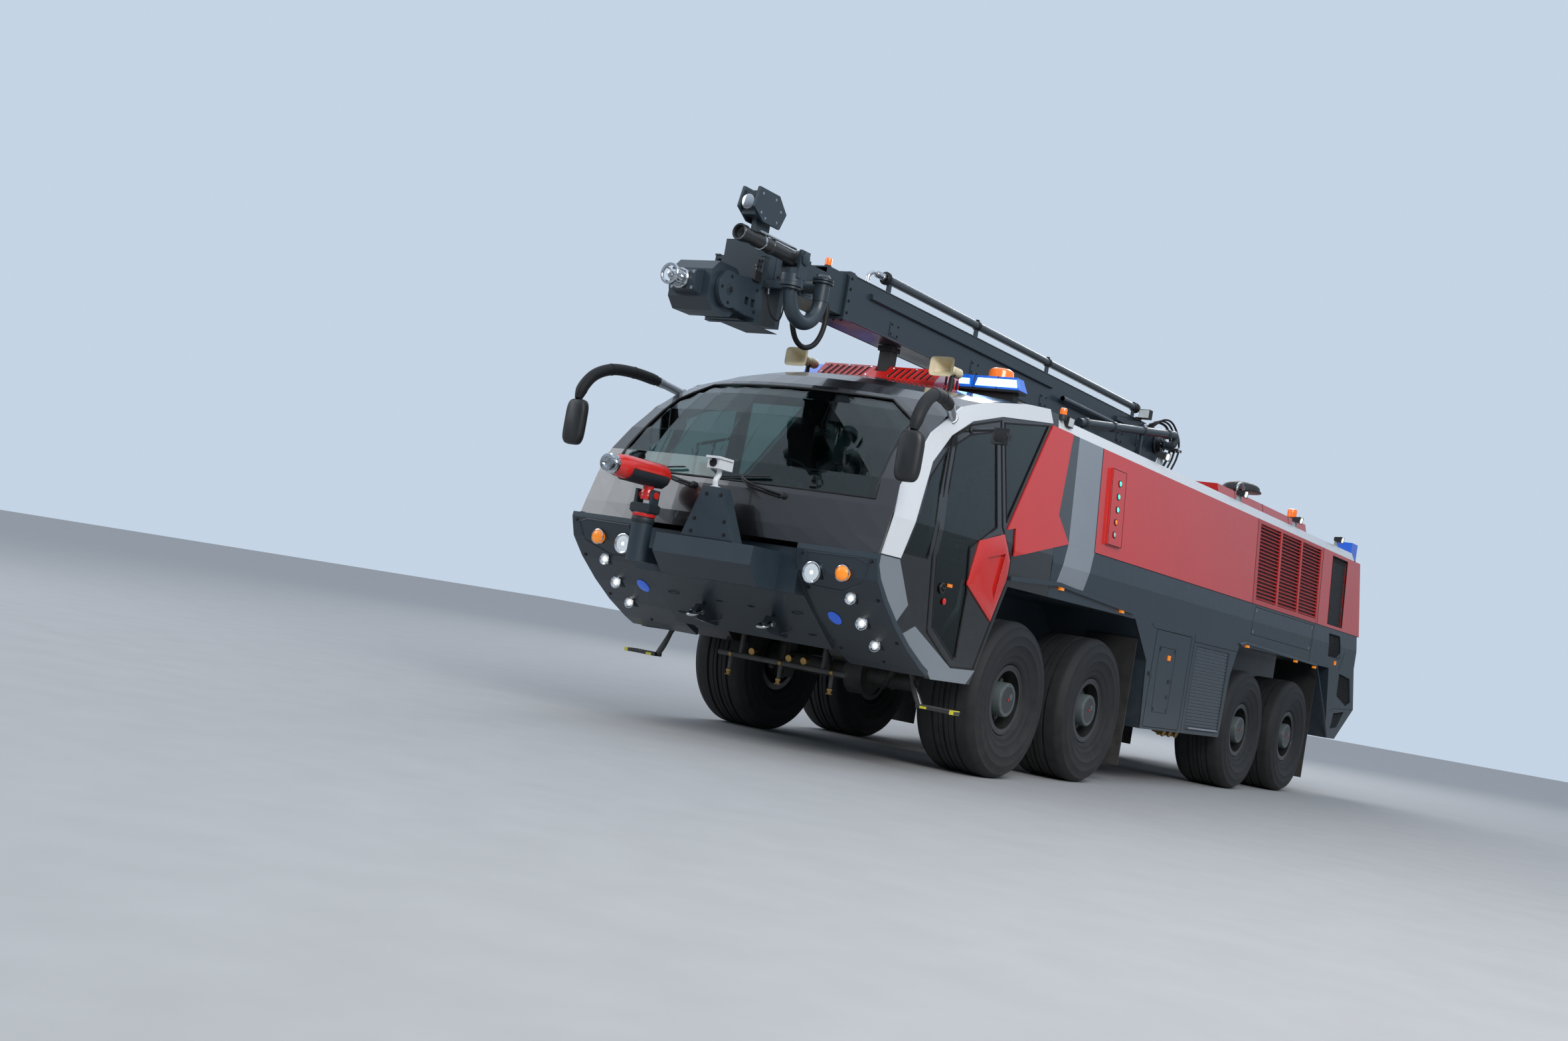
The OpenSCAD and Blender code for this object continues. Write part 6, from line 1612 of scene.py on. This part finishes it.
# Nozzle: black water barrel with a plated rod above it, and a search lamp in a folded bracket.
# The lamp is a sealed round unit behind clear glass.
jet = Work()
at_x, at_y, at_z = pivot = (450, -2860, 3790)
jet.turned([(54, 0), (55, -8), (55, -330), (60, -336), (60, -362), (55, -368), (55, -560), (50, -570),
    (50, -640), (56, -646), (56, -696), (64, -702), (64, -756), (60, -760), (48, -758), (44, -720),
    (0, -700)], pivot, BACK, 36)
jet.turned([(62, -64), (64, -58), (64, 58), (62, 64)], pivot, LEFT, 36)
jet.bar((at_x - 100, at_y, at_z), (at_x + 100, at_y, at_z), 30, 24)
jet.slot = 1
jet.turned([(70, -100), (70, -92), (58, -88), (58, 0)], (at_x + 8, at_y, at_z), LEFT, 6)
jet.turned([(54, 96), (54, 108), (40, 112)], pivot, LEFT, 6)
for s in (-1, 1):
    jet.plate([(at_y + a, at_z + b) for a, b in ((-600, 120), (-735, 200), (-700, 360), (-440, 360),
        (-320, 250), (-380, 120))], "x", at_x + s * 70 - 10, at_x + s * 70 + 10, 4)
jet.block(at_x - 20, at_x + 20, at_y - 600, at_y - 420, at_z + 50, at_z + 151, 5)
jet.block(at_x - 60, at_x + 60, at_y - 690, at_y - 440, at_z + 150, at_z + 330, 12)
for k in range(5):
    jet.block(at_x - 52, at_x + 52, at_y - 444, at_y - 424 - 2 * k, at_z + 170 + k * 32,
        at_z + 180 + k * 32, 2)
jet.slot = 2
jet.bar((at_x + 34, at_y - 60, at_z + 62), (at_x + 34, at_y - 560, at_z + 62), 11, 14)
jet.bar((at_x - 34, at_y - 60, at_z + 62), (at_x - 34, at_y - 560, at_z + 62), 11, 14)
jet.turned([(57, 0), (60, 2), (60, 14), (57, 16)], (at_x, at_y - 480, at_z), BACK, 32)
jet.turned([(50, 0), (56, 2), (56, 28), (50, 30), (48, 12)], (at_x, at_y - 720, at_z + 240), BACK, 36)
jet.slot = 3
jet.turned([(48, 8), (36, 14), (16, 20), (0, 21)], (at_x, at_y - 722, at_z + 240), BACK, 30)
jet.slot = 4
jet.turned([(50, 1), (30, -3), (0, -5), (0, -3), (30, -1), (50, 3)], (at_x, at_y - 718, at_z + 240), BACK,
    30)
jet.done("nozzle_and_search_lamp", "nozzle", cylinder_black, slate, chrome, lit_lens, clear_lens,
    stands_for=("nozzle",))
bolts("lamp_bracket_bolts", "nozzle", chrome, [((at_x + s * 80, at_y + y, at_z + z), (s, 0, 0))
    for s in (-1, 1) for y, z in ((-640, 180), (-650, 320), (-480, 320), (-400, 250), (-430, 160),
    (-580, 150))], 7, 5)

# Head hoses: a thick black one hanging in a U, a thin control cable, and a striped one to the swivel.
# Rubber over braid; the striped one is marked with a spiral of yellow tape.
striped, bands, stripes = patterned("yellow-striped hose", "Wave", 9.0, "Fac",
    ((0.012, 0.012, 0.013), (0.55, 0.42, 0.02)), {"Roughness": 0.5})
bands.bands_direction = "DIAGONAL"
stripes.color_ramp.interpolation = "CONSTANT"
stripes.color_ramp.elements[1].position = 0.62
hose("head_feed_hose", "boom_slide", [(176, -2040, 3668), (222, -2036, 3664), (258, -2030, 3590),
    (268, -2050, 3420), (274, -2140, 3280), (280, -2290, 3215), (286, -2430, 3245), (290, -2520, 3350),
    (286, -2545, 3490), (262, -2550, 3610), (222, -2552, 3650), (176, -2552, 3655)], 44, hose_black)
hose("head_cable", "boom_slide", [(300, -2930, 3540), (305, -2925, 3480), (310, -2900, 3390),
    (312, -2830, 3330), (308, -2740, 3330), (296, -2690, 3420), (270, -2680, 3540), (220, -2680, 3630),
    (172, -2680, 3645)], 13, hose_black)
hose("swivel_hose", "boom_slide", [(375, -2790, 3650), (360, -2730, 3620), (330, -2640, 3600),
    (296, -2520, 3630), (262, -2390, 3690), (238, -2290, 3740), (214, -2220, 3770), (190, -2170, 3772),
    (172, -2150, 3768)], 24, striped)
ports = Work()
ports.block(160, 178, -2080, -2000, 3630, 3706, 6)
ports.block(160, 178, -2590, -2514, 3630, 3690, 6)
ports.block(150, 178, -2180, -2120, 3740, 3796, 6)
ports.block(285, 318, -2950, -2912, 3532, 3552, 4)
ports.block(340, 392, -2815, -2770, 3556, 3600, 5)
ports.done("head_hose_ports", "boom_slide", slate_dark)

# Floor, camera and studio.
# A plain pale floor under soft light from all round, a little stronger from the camera's side.
floor = bpy.data.meshes.new("floor")
floor.from_pydata([(-60, -60, 0), (60, -60, 0), (60, 60, 0), (-60, 60, 0)], [], [(0, 1, 2, 3)])
floor_piece = in_scene("floor", floor)
ground, ground_skin, new, link = blank("pale floor")
speckle = texture(new, link, "Noise", 2.5)
speckle.inputs["Detail"].default_value = 5.0
tone = new("ShaderNodeMapRange")
set_values(tone, {"To Min": 0.34, "To Max": 0.40})
link(speckle.outputs["Fac"], tone.inputs["Value"])
grey = new("ShaderNodeCombineColor")
for channel in ("Red", "Green", "Blue"):
    link(tone.outputs["Result"], grey.inputs[channel])
link(grey.outputs["Color"], ground_skin.inputs["Base Color"])
ground_skin.inputs["Roughness"].default_value = 0.8
floor.materials.append(ground)

world = bpy.data.worlds.new("studio")
bpy.context.scene.world = world
world.use_nodes = True
new, link = world.node_tree.nodes.new, world.node_tree.links.new
sky = world.node_tree.nodes["Background"]
toward = new("ShaderNodeSeparateXYZ")
link(new("ShaderNodeTexCoord").outputs["Generated"], toward.inputs["Vector"])
ramp = new("ShaderNodeValToRGB")
ramp.color_ramp.elements[0].position = 0.0
ramp.color_ramp.elements[0].color = (0.15, 0.17, 0.19, 1)
middle = ramp.color_ramp.elements.new(0.22)
middle.color = (0.36, 0.43, 0.52, 1)
ramp.color_ramp.elements[-1].position = 0.8
ramp.color_ramp.elements[-1].color = (0.80, 0.90, 1.04, 1)
link(toward.outputs["Z"], ramp.inputs["Fac"])
path = new("ShaderNodeLightPath")
shown = new("ShaderNodeMix")
shown.data_type = "RGBA"
link(path.outputs["Is Camera Ray"], shown.inputs["Factor"])
link(ramp.outputs["Color"], shown.inputs["A"])
shown.inputs["B"].default_value = (0.56, 0.66, 0.78, 1)
link(shown.outputs["Result"], sky.inputs["Color"])
sky.inputs["Strength"].default_value = 1.0


def soft_light(name, place, toward, size, power, color=(1, 1, 1)):
    """A large soft box over the studio."""
    lamp = bpy.data.lights.new(name, "AREA")
    lamp.shape = "RECTANGLE"
    lamp.size, lamp.size_y = size
    lamp.energy = power
    lamp.color = color
    box = in_scene(name, lamp)
    way = (Vector(toward) - Vector(place)).normalized()
    box.matrix_world = Matrix.Translation(place) @ way.to_track_quat("-Z", "Y").to_matrix().to_4x4()


soft_light("key", (13, -13, 11), (0, 0, 1.5), (9, 7), 1900, (1.0, 0.98, 0.95))
soft_light("fill", (-12, -12, 8), (0, -3, 1.5), (8, 6), 450, (0.93, 0.96, 1.0))
soft_light("back", (-6, 14, 10), (0, 2, 2), (9, 6), 900)

FOCAL_PIXELS, FRAME_PIXELS = 2588.25, 2361
lens = bpy.data.cameras.new("camera")
lens.sensor_width = 36.0
lens.lens = lens.sensor_width * FOCAL_PIXELS / FRAME_PIXELS
lens.clip_end = 400
camera = in_scene("camera", lens)
bpy.context.scene.camera = camera
camera.matrix_world = Matrix(((0.81947, -0.10931, 0.56261, 8.048), (0.54714, -0.14303, -0.82473, -16.926),
    (0.17062, 0.98366, -0.05741, 1.033), (0, 0, 0, 1)))
bpy.context.scene.view_settings.view_transform = "Standard"
